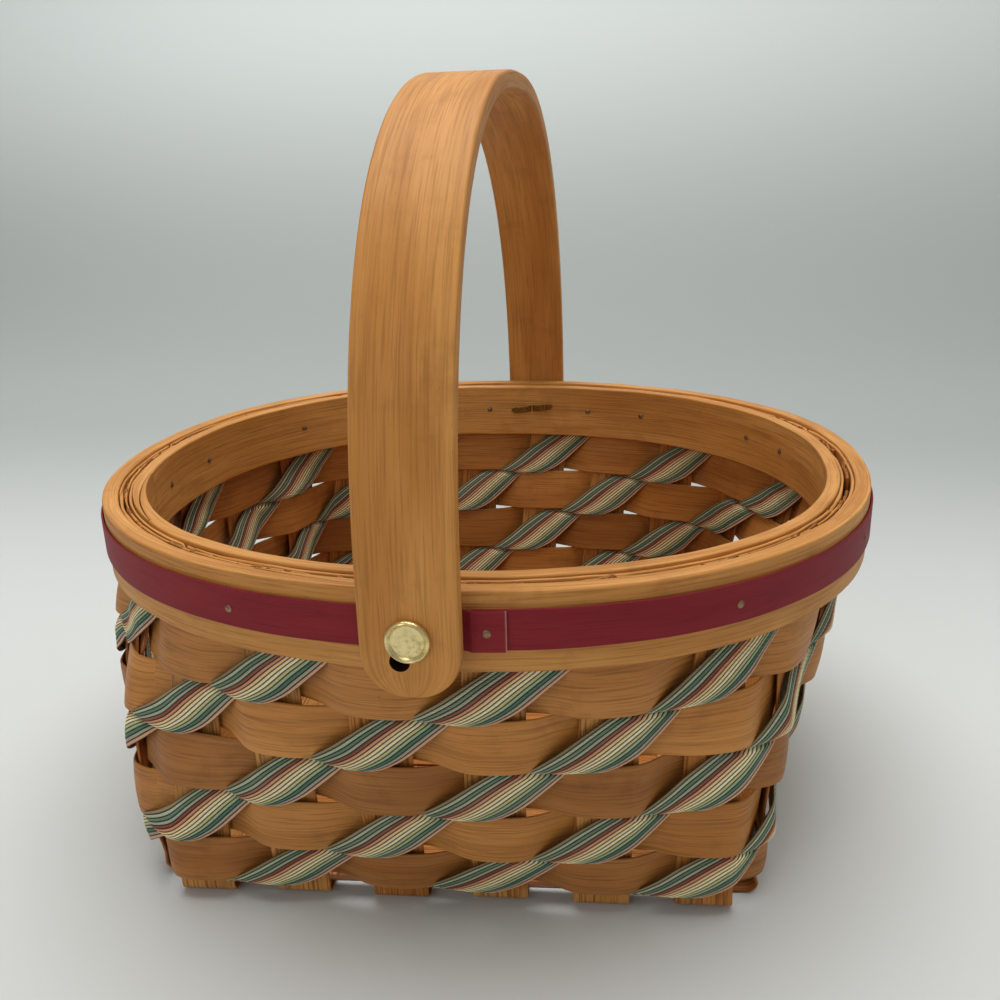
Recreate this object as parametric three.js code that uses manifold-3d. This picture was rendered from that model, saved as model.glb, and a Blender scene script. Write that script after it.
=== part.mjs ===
// A woven wooden basket with an oval rim, a square woven base, striped ribbons laid through
// the weave, a painted rim band and a bentwood handle that swings on two split pins.
// Millimetres, +Z up. The origin is on the floor under the middle of the rim, X runs along
// the rim's long way and the handle crosses the basket along Y.
import * as THREE from 'three';
import { mergeVertices } from 'three/addons/utils/BufferGeometryUtils.js';
import Module from 'manifold-3d';

const wasm = await Module();
wasm.setup();

// Room left between pieces that lie on each other, and beside the swinging handle, which
// has to pass over a tack's head
const CLEARANCE = 0.3;
const HANDLE_CLEARANCE = 1.5;

// Stakes: flat strips woven as the base and turned up as the wall's uprights
const STAKE_WIDTH = 19.5;
const STAKE_THICKNESS = 1;
const STAKE_PITCH = 35;
const STAKES_PER_SIDE = 6;
const STAKE_TOP_DROP = 1.4;

// The base is a square with rounded corners, turned and moved a little against the rim
const BASE_TURN = THREE.MathUtils.degToRad(4.4);
const BASE_SHIFT_X = -7;
const BASE_SHIFT_Y = 3;

// The rim is an oval between a circle and a rectangle, given at the middle of the wall
const RIM_HALF_LENGTH = 138.5;
const RIM_HALF_WIDTH = 127.5;
const RIM_POWER = 2.16;
const RIM_HEIGHT = 134.5;
const RIM_SHIFT = 5.6;
const RIM_DRIFT = 2.7;

// How the wall bellies on its way up, outwards on the front, right, back and left, and
// sideways. A stake keeps the way it faces in the base until it nears the hoops.
const WALL_BELLY_POWERS = [1.35, 1.5, 1.35, 2.2];
const WALL_SPREAD_POWER = 0.8;
const STAKE_TWIST_POWER = 1.5;

// Hoops: bent strips inside and outside the stake ends, each with lapped, tapered ends
const HOOP_HEIGHT = 25.4;
const OUTER_HOOP_THICKNESS = 5.5;
const INNER_HOOP_THICKNESS = 4.8;
const HOOP_GAP = 5;
const HOOP_LAP = 60;
const HOOP_FEATHER = 1;
const OUTER_LAP_START = -30;
const INNER_LAP_START = 640;

// Painted band round the outer hoop
const BAND_WIDTH = 12.7;
const BAND_THICKNESS = 0.8;
const BAND_DROP = 5.1;
const BAND_LAP = 9;
const BAND_LAP_START = 18.5;

// Weavers: one flat ring for each row, out over every second stake and in behind the rest
const WEAVER_ROWS = 5;
const WEAVER_THICKNESS = 1;
const WEAVER_SWING = 2.6;
const WEAVER_FLARE = 1.2;
const WEAVER_SQUARENESS = 1.5;
const WEAVER_DROP = 0.5;
const WEAVER_FOLLOW_SHARE = 1;
const ROW_GAP = 1.2;
const ROWS_BOTTOM = 10;
const LAST_ROW_SHARE = 0.8;

// Striped ribbons that climb through the weave by one stake for each row
const RIBBON_WIDTH = 12.7;
const RIBBON_THICKNESS = 0.6;
const RIBBON_PINCH = 4;
const RIBBON_CLIMB_POWER = 1.3;
const RIBBON_TUCK = 8;
const RIBBON_END_HEIGHT = 8;

// Swing handle: a bent strip whose arch rises from the pins
const HANDLE_WIDTH = 28.6;
const HANDLE_THICKNESS = 6;
const HANDLE_EDGE = 1.1;
const HANDLE_X = 2.8;
const HANDLE_RISE = 149.5;
const HANDLE_FRONT_POWER = 2.6;
const HANDLE_BACK_POWER = 2.2;
const HANDLE_TAIL = 17.7;
const HANDLE_TIP_RADIUS = 12.5;
const HANDLE_TIP_STATIONS = 4;
const HANDLE_ARCH_STATIONS = 32;
const PIVOT_DROP = 11.2;

// The unused hole below the front pivot
const SPARE_HOLE_RADIUS = 2.85;
const SPARE_HOLE_OFFSET = 2.3;
const SPARE_HOLE_DROP = 6.2;

// Split pins: a dished head outside, a shank, and two legs bent flat inside
const PIN_SHANK_RADIUS = 2;
const PIN_HEAD_RADIUS = 6.5;
const PIN_HEAD_RIM = 1.7;
const PIN_HEAD_DISH = 0.8;
const PIN_RIM_WIDTH = 1.6;
const PIN_LEG_LENGTH = 10.5;
const PIN_LEG_WIDTH = 3.4;
const PIN_LEG_THICKNESS = 0.8;
const PIN_SIDES = 20;

// Tacks through the band, both hoops and what lies between them
const TACK_HEAD_RADIUS = 1.4;
const TACK_HEAD_HEIGHT = 0.5;
const TACK_SHANK_RADIUS = 0.7;
const TACK_POINT = 1.2;
const TACK_SIDES = 6;
const TACK_DROP = 12;

// Where each tack stands, counted in stakes as the stakes' ends are
const TACK_STAKES = [1.34, 3.46, 5.45, 7.4, 10.35, 11.11, 13.01, 13.87, 15.42, 18.44, 20.35, 21.4, 22.35];

// One length that every through cut runs past the surfaces it opens
const OVERRUN = 2;
const BORE_SIDES = 12;

// Sizes that follow from the ones above
const STAKE_ENDS = 4 * STAKES_PER_SIDE;
const STAKE_GAP = STAKE_PITCH - STAKE_WIDTH;
const BEND_RADIUS = (STAKE_GAP * 2) / Math.PI;
const BASE_MIDDLE = new THREE.Vector2(BASE_SHIFT_X, BASE_SHIFT_Y);
const BASE_FLAT = (STAKES_PER_SIDE * STAKE_PITCH - STAKE_GAP) / 2;
const BASE_HALF = BASE_FLAT + BEND_RADIUS;
const UNDER_LEVEL = STAKE_THICKNESS / 2;
const OVER_LEVEL = UNDER_LEVEL + STAKE_THICKNESS + CLEARANCE;
const HOOP_BOTTOM = RIM_HEIGHT - HOOP_HEIGHT;
const WALL_RISE = HOOP_BOTTOM - BEND_RADIUS;
const PIVOT_HEIGHT = RIM_HEIGHT - PIVOT_DROP;
const OUTER_HOOP_INSIDE = HOOP_GAP / 2;
const OUTER_HOOP_FACE = OUTER_HOOP_INSIDE + OUTER_HOOP_THICKNESS;
const INNER_HOOP_FACE = -HOOP_GAP / 2 - INNER_HOOP_THICKNESS;
const BAND_INSIDE = OUTER_HOOP_FACE + CLEARANCE;
const BAND_FACE = BAND_INSIDE + BAND_THICKNESS;
const HANDLE_INSIDE = RIM_HALF_WIDTH + BAND_FACE + HANDLE_CLEARANCE;
const HANDLE_HALF_SPAN = HANDLE_INSIDE + HANDLE_THICKNESS / 2;
const ROWS_TOP = HOOP_BOTTOM - WEAVER_DROP + ROW_GAP / 2;
const ROWS_HEIGHT = ROWS_TOP - ROWS_BOTTOM + ROW_GAP / 2;
const WEAVER_PITCH = ROWS_HEIGHT / (WEAVER_ROWS - 1 + LAST_ROW_SHARE);
const RIBBON_LIE = STAKE_THICKNESS / 2 + CLEARANCE + RIBBON_THICKNESS / 2;
const WEAVER_FACE = WEAVER_SWING + WEAVER_THICKNESS / 2;
const RIBBON_OVER = WEAVER_FACE + CLEARANCE + RIBBON_THICKNESS / 2;

const material = (name, color, roughness, metalness = 0) => {
  const made = new THREE.MeshStandardMaterial({ color, roughness, metalness });
  made.name = name;
  return made;
};
const STAKE_WOOD = material('stake_wood', 0xc08b4e, 0.75);
const WEAVER_WOOD = material('weaver_wood', 0xa76a35, 0.6);
const HOOP_WOOD = material('hoop_wood', 0xd29a58, 0.55);
const HANDLE_WOOD = material('handle_wood', 0xcf9451, 0.5);
const BURGUNDY_PAINT = material('burgundy_paint', 0x701f2b, 0.6);
const STRIPED_PAPER = material('striped_paper', 0x8a9580, 0.8);
const BRASS = material('brass', 0xd8c070, 0.3, 1);
const TACK_STEEL = material('tack_steel', 0x9a8378, 0.45, 1);

const basket = new THREE.Group();
basket.name = 'basket';

// Meshes

function addPart(parent, name, geometry, partMaterial) {
  const mesh = new THREE.Mesh(geometry, partMaterial);
  mesh.name = name;
  parent.add(mesh);
  return mesh;
}

// Joins rings of corner points, one ring for each station, into one closed body
function loft(rings, closed = false) {
  const corners = rings[0].length;
  const positions = rings.flat().flatMap((point) => [point.x, point.y, point.z]);
  const faces = [];
  const steps = closed ? rings.length : rings.length - 1;
  for (let i = 0; i < steps; i += 1) {
    const here = i * corners;
    const next = ((i + 1) % rings.length) * corners;
    for (let j = 0; j < corners; j += 1) {
      const k = (j + 1) % corners;
      const quad = [here + j, next + j, next + k, here + k];
      const order = j < corners / 2 ? [0, 1, 2, 0, 2, 3] : [0, 1, 3, 1, 2, 3];
      faces.push(...order.map((corner) => quad[corner]));
    }
  }
  if (!closed) {
    const last = (rings.length - 1) * corners;
    for (let j = 1; j < corners - 1; j += 1) {
      faces.push(0, j, j + 1);
      faces.push(last, last + j + 1, last + j);
    }
  }
  const geometry = new THREE.BufferGeometry();
  geometry.setAttribute('position', new THREE.Float32BufferAttribute(positions, 3));
  const flipped = faces.map((corner, n) => faces[n + 2 - 2 * (n % 3)]);
  geometry.setIndex(signedVolume(positions, faces) < 0 ? flipped : faces);
  return geometry;
}

function signedVolume(positions, faces) {
  const corner = (index) => new THREE.Vector3().fromArray(positions, 3 * index);
  let sum = 0;
  for (let i = 0; i < faces.length; i += 3) {
    const [a, b, c] = [faces[i], faces[i + 1], faces[i + 2]].map(corner);
    sum += a.dot(b.cross(c));
  }
  return sum;
}

function toManifold(geometry) {
  const bare = new THREE.BufferGeometry();
  bare.setAttribute('position', geometry.getAttribute('position'));
  bare.setIndex(geometry.getIndex());
  const merged = mergeVertices(bare);
  return new wasm.Manifold(new wasm.Mesh({
    numProp: 3,
    vertProperties: new Float32Array(merged.getAttribute('position').array),
    triVerts: new Uint32Array(merged.getIndex().array),
  }));
}

function fromManifold(solid) {
  const { vertProperties, triVerts } = solid.getMesh();
  const geometry = new THREE.BufferGeometry();
  geometry.setAttribute('position', new THREE.BufferAttribute(new Float32Array(vertProperties), 3));
  geometry.setIndex(new THREE.BufferAttribute(new Uint32Array(triVerts), 1));
  return geometry;
}

const cut = (geometry, tools) => fromManifold(
  tools.reduce((solid, tool) => solid.subtract(tool), toManifold(geometry)),
);

// Outlines in plan

// A closed line with a point and an outward direction at every distance along it
class PlanLine {
  constructor(points) {
    this.points = points;
    this.lengths = [0];
    points.forEach((point, i) => {
      this.lengths.push(this.lengths[i] + point.distanceTo(points[(i + 1) % points.length]));
    });
    this.length = this.lengths.at(-1);
  }

  at(distance) {
    const along = THREE.MathUtils.euclideanModulo(distance, this.length);
    let low = 0;
    let high = this.points.length;
    while (high - low > 1) {
      const middle = (low + high) >> 1;
      if (this.lengths[middle] > along) high = middle;
      else low = middle;
    }
    const next = this.points[(low + 1) % this.points.length];
    const span = this.lengths[low + 1] - this.lengths[low];
    return this.points[low].clone().lerp(next, (along - this.lengths[low]) / span);
  }
}

const RIM_LINE_POINTS = 720;
const RIM_STATIONS = 64;

function ovalPoint(angle) {
  const c = Math.cos(angle);
  const s = Math.sin(angle);
  return new THREE.Vector2(
    RIM_HALF_LENGTH * Math.sign(c) * Math.abs(c) ** (2 / RIM_POWER),
    RIM_HALF_WIDTH * Math.sign(s) * Math.abs(s) ** (2 / RIM_POWER),
  );
}

// How far the oval falls back from its widest at a place along X
const ovalDepth = (x) => RIM_HALF_WIDTH
  * (1 - (1 - (Math.abs(x) / RIM_HALF_LENGTH) ** RIM_POWER) ** (1 / RIM_POWER));

// The rim's line starts at the middle of the front, and a stake number counts from the
// front left corner, which is a quarter of a side's stakes away on either hand
const rimLine = new PlanLine(Array.from(
  { length: RIM_LINE_POINTS },
  (_, i) => ovalPoint(-Math.PI / 2 + (i / RIM_LINE_POINTS) * 2 * Math.PI),
));

function rimDistance(stake) {
  const share = (stake - STAKES_PER_SIDE / 2) / STAKE_ENDS;
  const drift = RIM_DRIFT * Math.sin(share * 2 * Math.PI);
  return share * rimLine.length + RIM_SHIFT + drift;
}

const rimPoint = (stake) => rimLine.at(rimDistance(stake));

const rimOutward = (distance) => {
  const ahead = rimLine.at(distance + STAKE_THICKNESS);
  const run = ahead.sub(rimLine.at(distance - STAKE_THICKNESS)).normalize();
  return new THREE.Vector2(run.y, -run.x);
};

// The base's line: straight sides joined by corners as round as the upturn of the stakes
function basePoint(stake) {
  const wrapped = THREE.MathUtils.euclideanModulo(stake, STAKE_ENDS);
  const side = Math.floor(wrapped / STAKES_PER_SIDE);
  const along = (wrapped - side * STAKES_PER_SIDE) * STAKE_PITCH;
  const corner = STAKE_GAP / 2;
  const far = STAKES_PER_SIDE * STAKE_PITCH - corner;
  const point = new THREE.Vector2();
  if (along < corner) {
    const turn = -Math.PI / 2 - (Math.PI / 4) * (1 - along / corner);
    point.set(-BASE_FLAT, -BASE_FLAT).add(arm(BEND_RADIUS, turn));
  } else if (along > far) {
    const turn = -Math.PI / 2 + (Math.PI / 4) * ((along - far) / corner);
    point.set(BASE_FLAT, -BASE_FLAT).add(arm(BEND_RADIUS, turn));
  } else {
    point.set(-BASE_FLAT + along - corner, -BASE_HALF);
  }
  return point.rotateAround(new THREE.Vector2(), BASE_TURN + (side * Math.PI) / 2).add(BASE_MIDDLE);
}

function arm(length, angle) {
  return new THREE.Vector2(length * Math.cos(angle), length * Math.sin(angle));
}

// The wall

const SIDE_STEP = 0.02;

function outward(line, stake) {
  const run = line(stake + SIDE_STEP).sub(line(stake - SIDE_STEP)).normalize();
  return new THREE.Vector2(run.y, -run.x);
}

// Heights of the rows, counted from the top. The lowest row is narrower than the rest.
const rowCeiling = (row) => ROWS_TOP - row * WEAVER_PITCH;
const rowFloor = (row) => Math.max(rowCeiling(row + 1), ROWS_TOP - ROWS_HEIGHT);
const rowHeight = (row) => rowCeiling(row) - rowFloor(row);
const rowMiddle = (row) => (rowCeiling(row) + rowFloor(row)) / 2;

// The wall is straight from each of these heights to the next
const UPPER_ROWS = Array.from({ length: WEAVER_ROWS - 1 }, (_, row) => row);
const WALL_BENDS = UPPER_ROWS.flatMap((row) => [rowMiddle(row), rowFloor(row)]);
const WALL_HEIGHTS = [HOOP_BOTTOM, ...WALL_BENDS, BEND_RADIUS];

// A value at a height, from a curve over the way up from the upturn to the hoops
function upTheWall(z, curve) {
  const low = Math.max(WALL_HEIGHTS.findIndex((height) => height <= z), 1);
  const [bottom, top] = [WALL_HEIGHTS[low], WALL_HEIGHTS[low - 1]];
  const [from, to] = [bottom, top].map((height) => curve((height - BEND_RADIUS) / WALL_RISE));
  return THREE.MathUtils.lerp(from, to, THREE.MathUtils.clamp((z - bottom) / (top - bottom), 0, 1));
}

// How far a stake's upturn has come in at a height, for the stakes that lie highest
function upturnInset(z) {
  const drop = THREE.MathUtils.clamp((BEND_RADIUS - z) / (BEND_RADIUS - OVER_LEVEL), 0, 1);
  return BEND_RADIUS * (1 - Math.sqrt(1 - drop * drop));
}

// Where a stake stands at a height: its middle, the way it faces and the way round the wall
function stakeFrame(stake, z) {
  const side = Math.floor(THREE.MathUtils.euclideanModulo(stake, STAKE_ENDS) / STAKES_PER_SIDE);
  const out = upTheWall(z, (share) => 1 - (1 - share) ** WALL_BELLY_POWERS[side]);
  const sideways = upTheWall(z, (share) => 1 - (1 - share) ** WALL_SPREAD_POWER);
  const [shareX, shareY] = side % 2 === 0 ? [sideways, out] : [out, sideways];
  const [base, rim] = [basePoint(stake), rimPoint(stake)];
  const point = new THREE.Vector2(
    THREE.MathUtils.lerp(base.x, rim.x, shareX),
    THREE.MathUtils.lerp(base.y, rim.y, shareY),
  );
  const twist = upTheWall(z, (share) => share ** STAKE_TWIST_POWER);
  const facing = outward(basePoint, stake).lerp(outward(rimPoint, stake), twist).normalize();
  return { point, facing, round: new THREE.Vector2(-facing.y, facing.x) };
}

// The wall is straight across each flat stake and straight from one stake to the next
function wallPlace(stake, z) {
  const middle = Math.floor(stake) + 1 / 2;
  const offset = (stake - middle) * STAKE_PITCH;
  const here = stakeFrame(middle, z);
  const reach = THREE.MathUtils.clamp(offset, -STAKE_WIDTH / 2, STAKE_WIDTH / 2);
  const edge = here.point.clone().addScaledVector(here.round, reach);
  if (reach === offset) return { point: edge, facing: here.facing };
  const next = stakeFrame(middle + Math.sign(offset), z);
  const far = next.point.clone().addScaledVector(next.round, -reach);
  const share = (Math.abs(offset) - STAKE_WIDTH / 2) / STAKE_GAP;
  return { point: edge.lerp(far, share), facing: here.facing.lerp(next.facing, share).normalize() };
}

// A point at a lift out from the middle of the stakes. Strips outside the wall hang straight
// down over the upturn, and strips inside the wall follow it.
function wallPoint(stake, z, lift) {
  const { point, facing } = wallPlace(stake, Math.max(z, BEND_RADIUS));
  const inside = THREE.MathUtils.clamp(-lift / RIBBON_LIE, 0, 1);
  point.addScaledVector(facing, lift - inside * upturnInset(z));
  return new THREE.Vector3(point.x, point.y, z);
}

function wallFacing(stake, z) {
  const { facing } = wallPlace(stake, Math.max(z, BEND_RADIUS));
  return new THREE.Vector3(facing.x, facing.y, 0);
}

// Four corners of a flat strip's section, from its two edges and the way it faces
function stripSection(edgeA, edgeB, facing, thickness) {
  const half = facing.clone().multiplyScalar(thickness / 2);
  return [
    edgeA.clone().add(half),
    edgeB.clone().add(half),
    edgeB.clone().sub(half),
    edgeA.clone().sub(half),
  ];
}

// Cutters for the pins and tacks, which pass through band, hoops and stakes alike

// A cylinder along Y that runs from one distance to another
function boreAlongY(radius, from, to, x, z, sides = BORE_SIDES) {
  const geometry = new THREE.CylinderGeometry(radius, radius, to - from, sides);
  geometry.translate(x, (from + to) / 2, z);
  return toManifold(geometry);
}

const FRONT = -1;
const BACK = 1;
const PIN_REACH = HANDLE_INSIDE + HANDLE_THICKNESS + OVERRUN;
const PIN_INNER_REACH = RIM_HALF_WIDTH + INNER_HOOP_FACE - OVERRUN;

function pinBore(side) {
  const ends = [side * PIN_REACH, side * PIN_INNER_REACH].sort((a, b) => a - b);
  return boreAlongY(PIN_SHANK_RADIUS + CLEARANCE, ends[0], ends[1], HANDLE_X, PIVOT_HEIGHT);
}

// Where a tack stands on the rim's line, and the turn that brings +Y to its outward side
const tackPlaces = TACK_STAKES.map((stake) => {
  const facing = rimOutward(rimDistance(stake));
  return { foot: rimPoint(stake), turn: facing.angle() - Math.PI / 2 };
});

function standOnRim(geometry, place) {
  geometry.rotateZ(place.turn);
  geometry.translate(place.foot.x, place.foot.y, RIM_HEIGHT - TACK_DROP);
  return geometry;
}

function tackBore(place) {
  const from = INNER_HOOP_FACE - OVERRUN;
  const to = BAND_FACE + OVERRUN;
  const radius = TACK_SHANK_RADIUS + CLEARANCE;
  const geometry = new THREE.CylinderGeometry(radius, radius, to - from, TACK_SIDES);
  geometry.translate(0, (from + to) / 2, 0);
  return toManifold(standOnRim(geometry, place));
}

const rimBores = [pinBore(FRONT), pinBore(BACK), ...tackPlaces.map(tackBore)];

// Stakes

const CROSSING_HALF = STAKE_WIDTH / 2 + CLEARANCE;
const UPTURN_SHARES = [0, 1 / 4, 1 / 2, 3 / 4];

// One wall end of a stake from the rim down to the flat of the base
function stakeEnd(stake, level) {
  const heights = [RIM_HEIGHT - STAKE_TOP_DROP, HOOP_BOTTOM, ...WALL_BENDS];
  const wall = heights.map((z) => ({ point: wallPoint(stake, z, 0), facing: wallFacing(stake, z) }));
  const foot = wallFacing(stake, 0);
  const upturn = UPTURN_SHARES.map((share) => {
    const angle = (share * Math.PI) / 2;
    const inset = BEND_RADIUS * (1 - Math.cos(angle));
    const drop = (BEND_RADIUS - level) * Math.sin(angle);
    const base = basePoint(stake);
    const point = new THREE.Vector3(base.x, base.y, BEND_RADIUS - drop);
    const facing = foot.clone().multiplyScalar(Math.cos(angle));
    facing.z = -Math.sin(angle);
    return { point: point.addScaledVector(foot, -inset), facing };
  });
  return [...wall, ...upturn];
}

// The crossings of the base, where the stake lies flat under or over the others
function stakeBase(stake, startsUnder) {
  const down = new THREE.Vector3(0, 0, -1);
  const inward = wallFacing(stake, 0).negate();
  const base = basePoint(stake);
  const stations = [];
  for (let i = 0; i < STAKES_PER_SIDE; i += 1) {
    const level = (i % 2 === 0) === startsUnder ? UNDER_LEVEL : OVER_LEVEL;
    const middle = BASE_HALF - (STAKES_PER_SIDE * STAKE_PITCH) / 2 + (i + 1 / 2) * STAKE_PITCH;
    [-CROSSING_HALF, CROSSING_HALF].forEach((side) => {
      const point = new THREE.Vector3(base.x, base.y, level);
      stations.push({ point: point.addScaledVector(inward, middle + side), facing: down });
    });
  }
  return stations;
}

function stakeSolid(startEnd, finishEnd) {
  const startsUnder = startEnd % 2 === 1 / 2;
  const endLevel = (under) => (under ? UNDER_LEVEL : OVER_LEVEL);
  const stations = [
    ...stakeEnd(startEnd, endLevel(startsUnder)),
    ...stakeBase(startEnd, startsUnder),
    ...stakeEnd(finishEnd, endLevel(!startsUnder)).reverse(),
  ];
  const rings = stations.map(({ point, facing }, i) => {
    const before = stations[Math.max(i - 1, 0)].point;
    const after = stations[Math.min(i + 1, stations.length - 1)].point;
    const across = after.clone().sub(before).cross(facing).normalize();
    const half = across.multiplyScalar(STAKE_WIDTH / 2);
    return stripSection(point.clone().sub(half), point.clone().add(half), facing, STAKE_THICKNESS);
  });
  return loft(rings);
}

function addStakes() {
  for (let i = 0; i < STAKES_PER_SIDE; i += 1) {
    const middle = i + 1 / 2;
    const acrossFrom = STAKES_PER_SIDE * 3 - middle;
    const leftEnd = STAKE_ENDS - middle;
    const rightEnd = STAKES_PER_SIDE + middle;
    const cross = cut(stakeSolid(middle, acrossFrom), rimBores);
    addPart(basket, `stake_front_to_back_${i + 1}`, cross, STAKE_WOOD);
    const long = cut(stakeSolid(rightEnd, leftEnd), rimBores);
    addPart(basket, `stake_side_to_side_${i + 1}`, long, STAKE_WOOD);
  }
}

// Weavers

// From 1 over a stake of the row's own set to -1 behind the next
const weave = (stake) => Math.tanh(WEAVER_SQUARENESS * Math.cos(stake * Math.PI))
  / Math.tanh(WEAVER_SQUARENESS);

function weaverLift(row, stake) {
  const phase = row % 2 === 0 ? 1 / 2 : 3 / 2;
  return WEAVER_SWING * weave(stake - phase);
}

// A weaver turns at both edges of each stake, and midway between two stakes
const STAKE_EDGE = (STAKE_WIDTH / 2 + CLEARANCE) / STAKE_PITCH;
const WEAVER_TURNS = [0, 1 / 2 - STAKE_EDGE, 1 / 2 + STAKE_EDGE];

function weaverSolid(row) {
  const middle = rowMiddle(row);
  const rings = [];
  for (let i = 0; i < STAKE_ENDS; i += 1) {
    WEAVER_TURNS.forEach((turn) => {
      const stake = i + turn;
      const lift = weaverLift(row, stake);
      const edge = (side) => {
        const z = middle + (side * (rowHeight(row) - ROW_GAP)) / 2;
        const out = lift + (side < 0 ? WEAVER_FLARE * Math.max(lift / WEAVER_SWING, 0) : 0);
        const upright = wallPoint(stake, middle, out).setZ(z);
        return upright.lerp(wallPoint(stake, z, out), WEAVER_FOLLOW_SHARE);
      };
      rings.push(stripSection(edge(1), edge(-1), wallFacing(stake, middle), WEAVER_THICKNESS));
    });
  }
  return loft(rings, true);
}

// Ribbons

// Where a ribbon's section is drawn in one window of the weave, from its lower end up:
// how far along the window, how wide, how far it sags, and the lift of its two edges from
// lying on a stake to passing over a weaver
const RIBBON_SHARES = [
  { along: 0, width: 0, sag: 0.42, upper: 0.25, lower: 0.72 },
  { along: 1 / 2 - STAKE_EDGE, width: 0.82, sag: 0.1, upper: 0.3, lower: 1.25 },
  { along: 1 / 2, width: 1, sag: 0, upper: 0.35, lower: 0.85 },
  { along: 1 / 2 + STAKE_EDGE, width: 0.6, sag: 0.2, upper: 0, lower: 0.3 },
];
const RIBBON_END_SHARE = 0.1;
const RIBBON_TUCK_SHARE = 0.95;
const RIBBON_TUCK_LIFT_SHARE = 0.3;
const RIBBON_STEEPNESS = Math.cos(Math.atan2(WEAVER_PITCH, STAKE_PITCH));

// A ribbon starts tucked up between the hoop and the stakes beside its first window, and
// runs down through one window in every row. hand is 1 outside and -1 inside.
function ribbonSolid(firstStake, hand) {
  const rings = [];
  const span = RIBBON_OVER - RIBBON_LIE;
  const ring = (stake, top, bottom, upperLift, lowerLift) => {
    const upper = wallPoint(stake, Math.max(top, RIBBON_END_HEIGHT + RIBBON_PINCH), hand * upperLift);
    const lower = wallPoint(stake, Math.max(bottom, RIBBON_END_HEIGHT), hand * lowerLift);
    rings.push(stripSection(upper, lower, wallFacing(stake, (top + bottom) / 2), RIBBON_THICKNESS));
  };
  const tuckStake = firstStake + hand * (RIBBON_TUCK_SHARE - 1 / 2);
  const tuckLift = RIBBON_LIE * RIBBON_TUCK_LIFT_SHARE;
  ring(tuckStake, HOOP_BOTTOM + RIBBON_TUCK, HOOP_BOTTOM, tuckLift, tuckLift);
  for (let row = 0; row < WEAVER_ROWS; row += 1) {
    RIBBON_SHARES.toReversed().forEach(({ along, width, sag, upper, lower }) => {
      const ends = row === WEAVER_ROWS - 1 && along === 0;
      const place = ends ? RIBBON_END_SHARE : along;
      const middle = rowFloor(row) + rowHeight(row) * place ** RIBBON_CLIMB_POWER
        - sag * (ROW_GAP + RIBBON_PINCH / 2);
      const wide = RIBBON_PINCH + (RIBBON_WIDTH - RIBBON_PINCH) * width;
      const half = (wide / 2 / RIBBON_STEEPNESS) * (rowHeight(row) / WEAVER_PITCH);
      const stake = firstStake + hand * (place - 1 / 2 - row);
      ring(stake, middle + half, middle - half, RIBBON_LIE + span * upper, RIBBON_LIE + span * lower);
    });
  }
  return loft(rings);
}

function addRibbons() {
  const count = STAKE_ENDS / 2;
  for (let i = 0; i < count; i += 1) {
    const label = String(i + 1).padStart(2, '0');
    const outer = ribbonSolid(2 * i + 3 / 2, 1);
    addPart(basket, `ribbon_outer_${label}`, outer, STRIPED_PAPER);
    const inner = ribbonSolid(2 * i + 1 / 2, -1);
    addPart(basket, `ribbon_inner_${label}`, inner, STRIPED_PAPER);
  }
}

// Hoops and band

function rimOffset(distance, lift, z) {
  const point = rimLine.at(distance).addScaledVector(rimOutward(distance), lift);
  return new THREE.Vector3(point.x, point.y, z);
}

// A strip bent round the rim, whose ends lap: inside(distance) and face(distance) give its
// two surfaces, and stations are where along the rim its section is drawn
function bentStrip(stations, inside, face, bottom, top) {
  return loft(stations.map((distance) => [
    rimOffset(distance, face(distance), top),
    rimOffset(distance, face(distance), bottom),
    rimOffset(distance, inside(distance), bottom),
    rimOffset(distance, inside(distance), top),
  ]));
}

// Stations from the start of a lapped strip once round the rim to the end of its lap
function lappedStations(start, lap, ramp) {
  const finish = start + rimLine.length;
  const ends = [start, start + lap, start + lap + ramp, finish - ramp, finish, finish + lap];
  const step = rimLine.length / RIM_STATIONS;
  const first = Math.ceil(start / step);
  const last = Math.floor((finish + lap) / step);
  const round = Array.from({ length: last - first + 1 }, (_, i) => (first + i) * step);
  const apart = (distance) => ends.every((end) => Math.abs(end - distance) > step / 8);
  return [...ends, ...round.filter(apart)].sort((a, b) => a - b);
}

// A hoop's two ends are cut on long slants that lie on each other
function hoopSolid(start, inside, thickness) {
  const finish = start + rimLine.length;
  const slant = thickness - 2 * HOOP_FEATHER - CLEARANCE;
  const face = (distance) => {
    if (distance > start + HOOP_LAP) return inside + thickness;
    return inside + HOOP_FEATHER + (slant * (distance - start)) / HOOP_LAP;
  };
  const back = (distance) => {
    if (distance < finish) return inside;
    return inside + HOOP_FEATHER + CLEARANCE + (slant * (distance - finish)) / HOOP_LAP;
  };
  const stations = lappedStations(start, HOOP_LAP, HOOP_FEATHER);
  return bentStrip(stations, back, face, HOOP_BOTTOM, RIM_HEIGHT);
}

function bandSolid() {
  const finish = BAND_LAP_START + rimLine.length;
  const rise = BAND_THICKNESS + CLEARANCE;
  const inside = (distance) => (distance < finish ? BAND_INSIDE : BAND_INSIDE + rise);
  const face = (distance) => inside(distance) + BAND_THICKNESS;
  const top = RIM_HEIGHT - BAND_DROP;
  const stations = lappedStations(BAND_LAP_START, BAND_LAP, 2 * rise);
  return bentStrip(stations, inside, face, top - BAND_WIDTH, top);
}

function addRim() {
  const outer = hoopSolid(OUTER_LAP_START, OUTER_HOOP_INSIDE, OUTER_HOOP_THICKNESS);
  addPart(basket, 'outer_hoop', cut(outer, rimBores), HOOP_WOOD);
  const inner = hoopSolid(INNER_LAP_START, INNER_HOOP_FACE, INNER_HOOP_THICKNESS);
  addPart(basket, 'inner_hoop', cut(inner, rimBores), HOOP_WOOD);
  addPart(basket, 'painted_band', cut(bandSolid(), rimBores), BURGUNDY_PAINT);
}

// Handle, built about its pivot line

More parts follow.
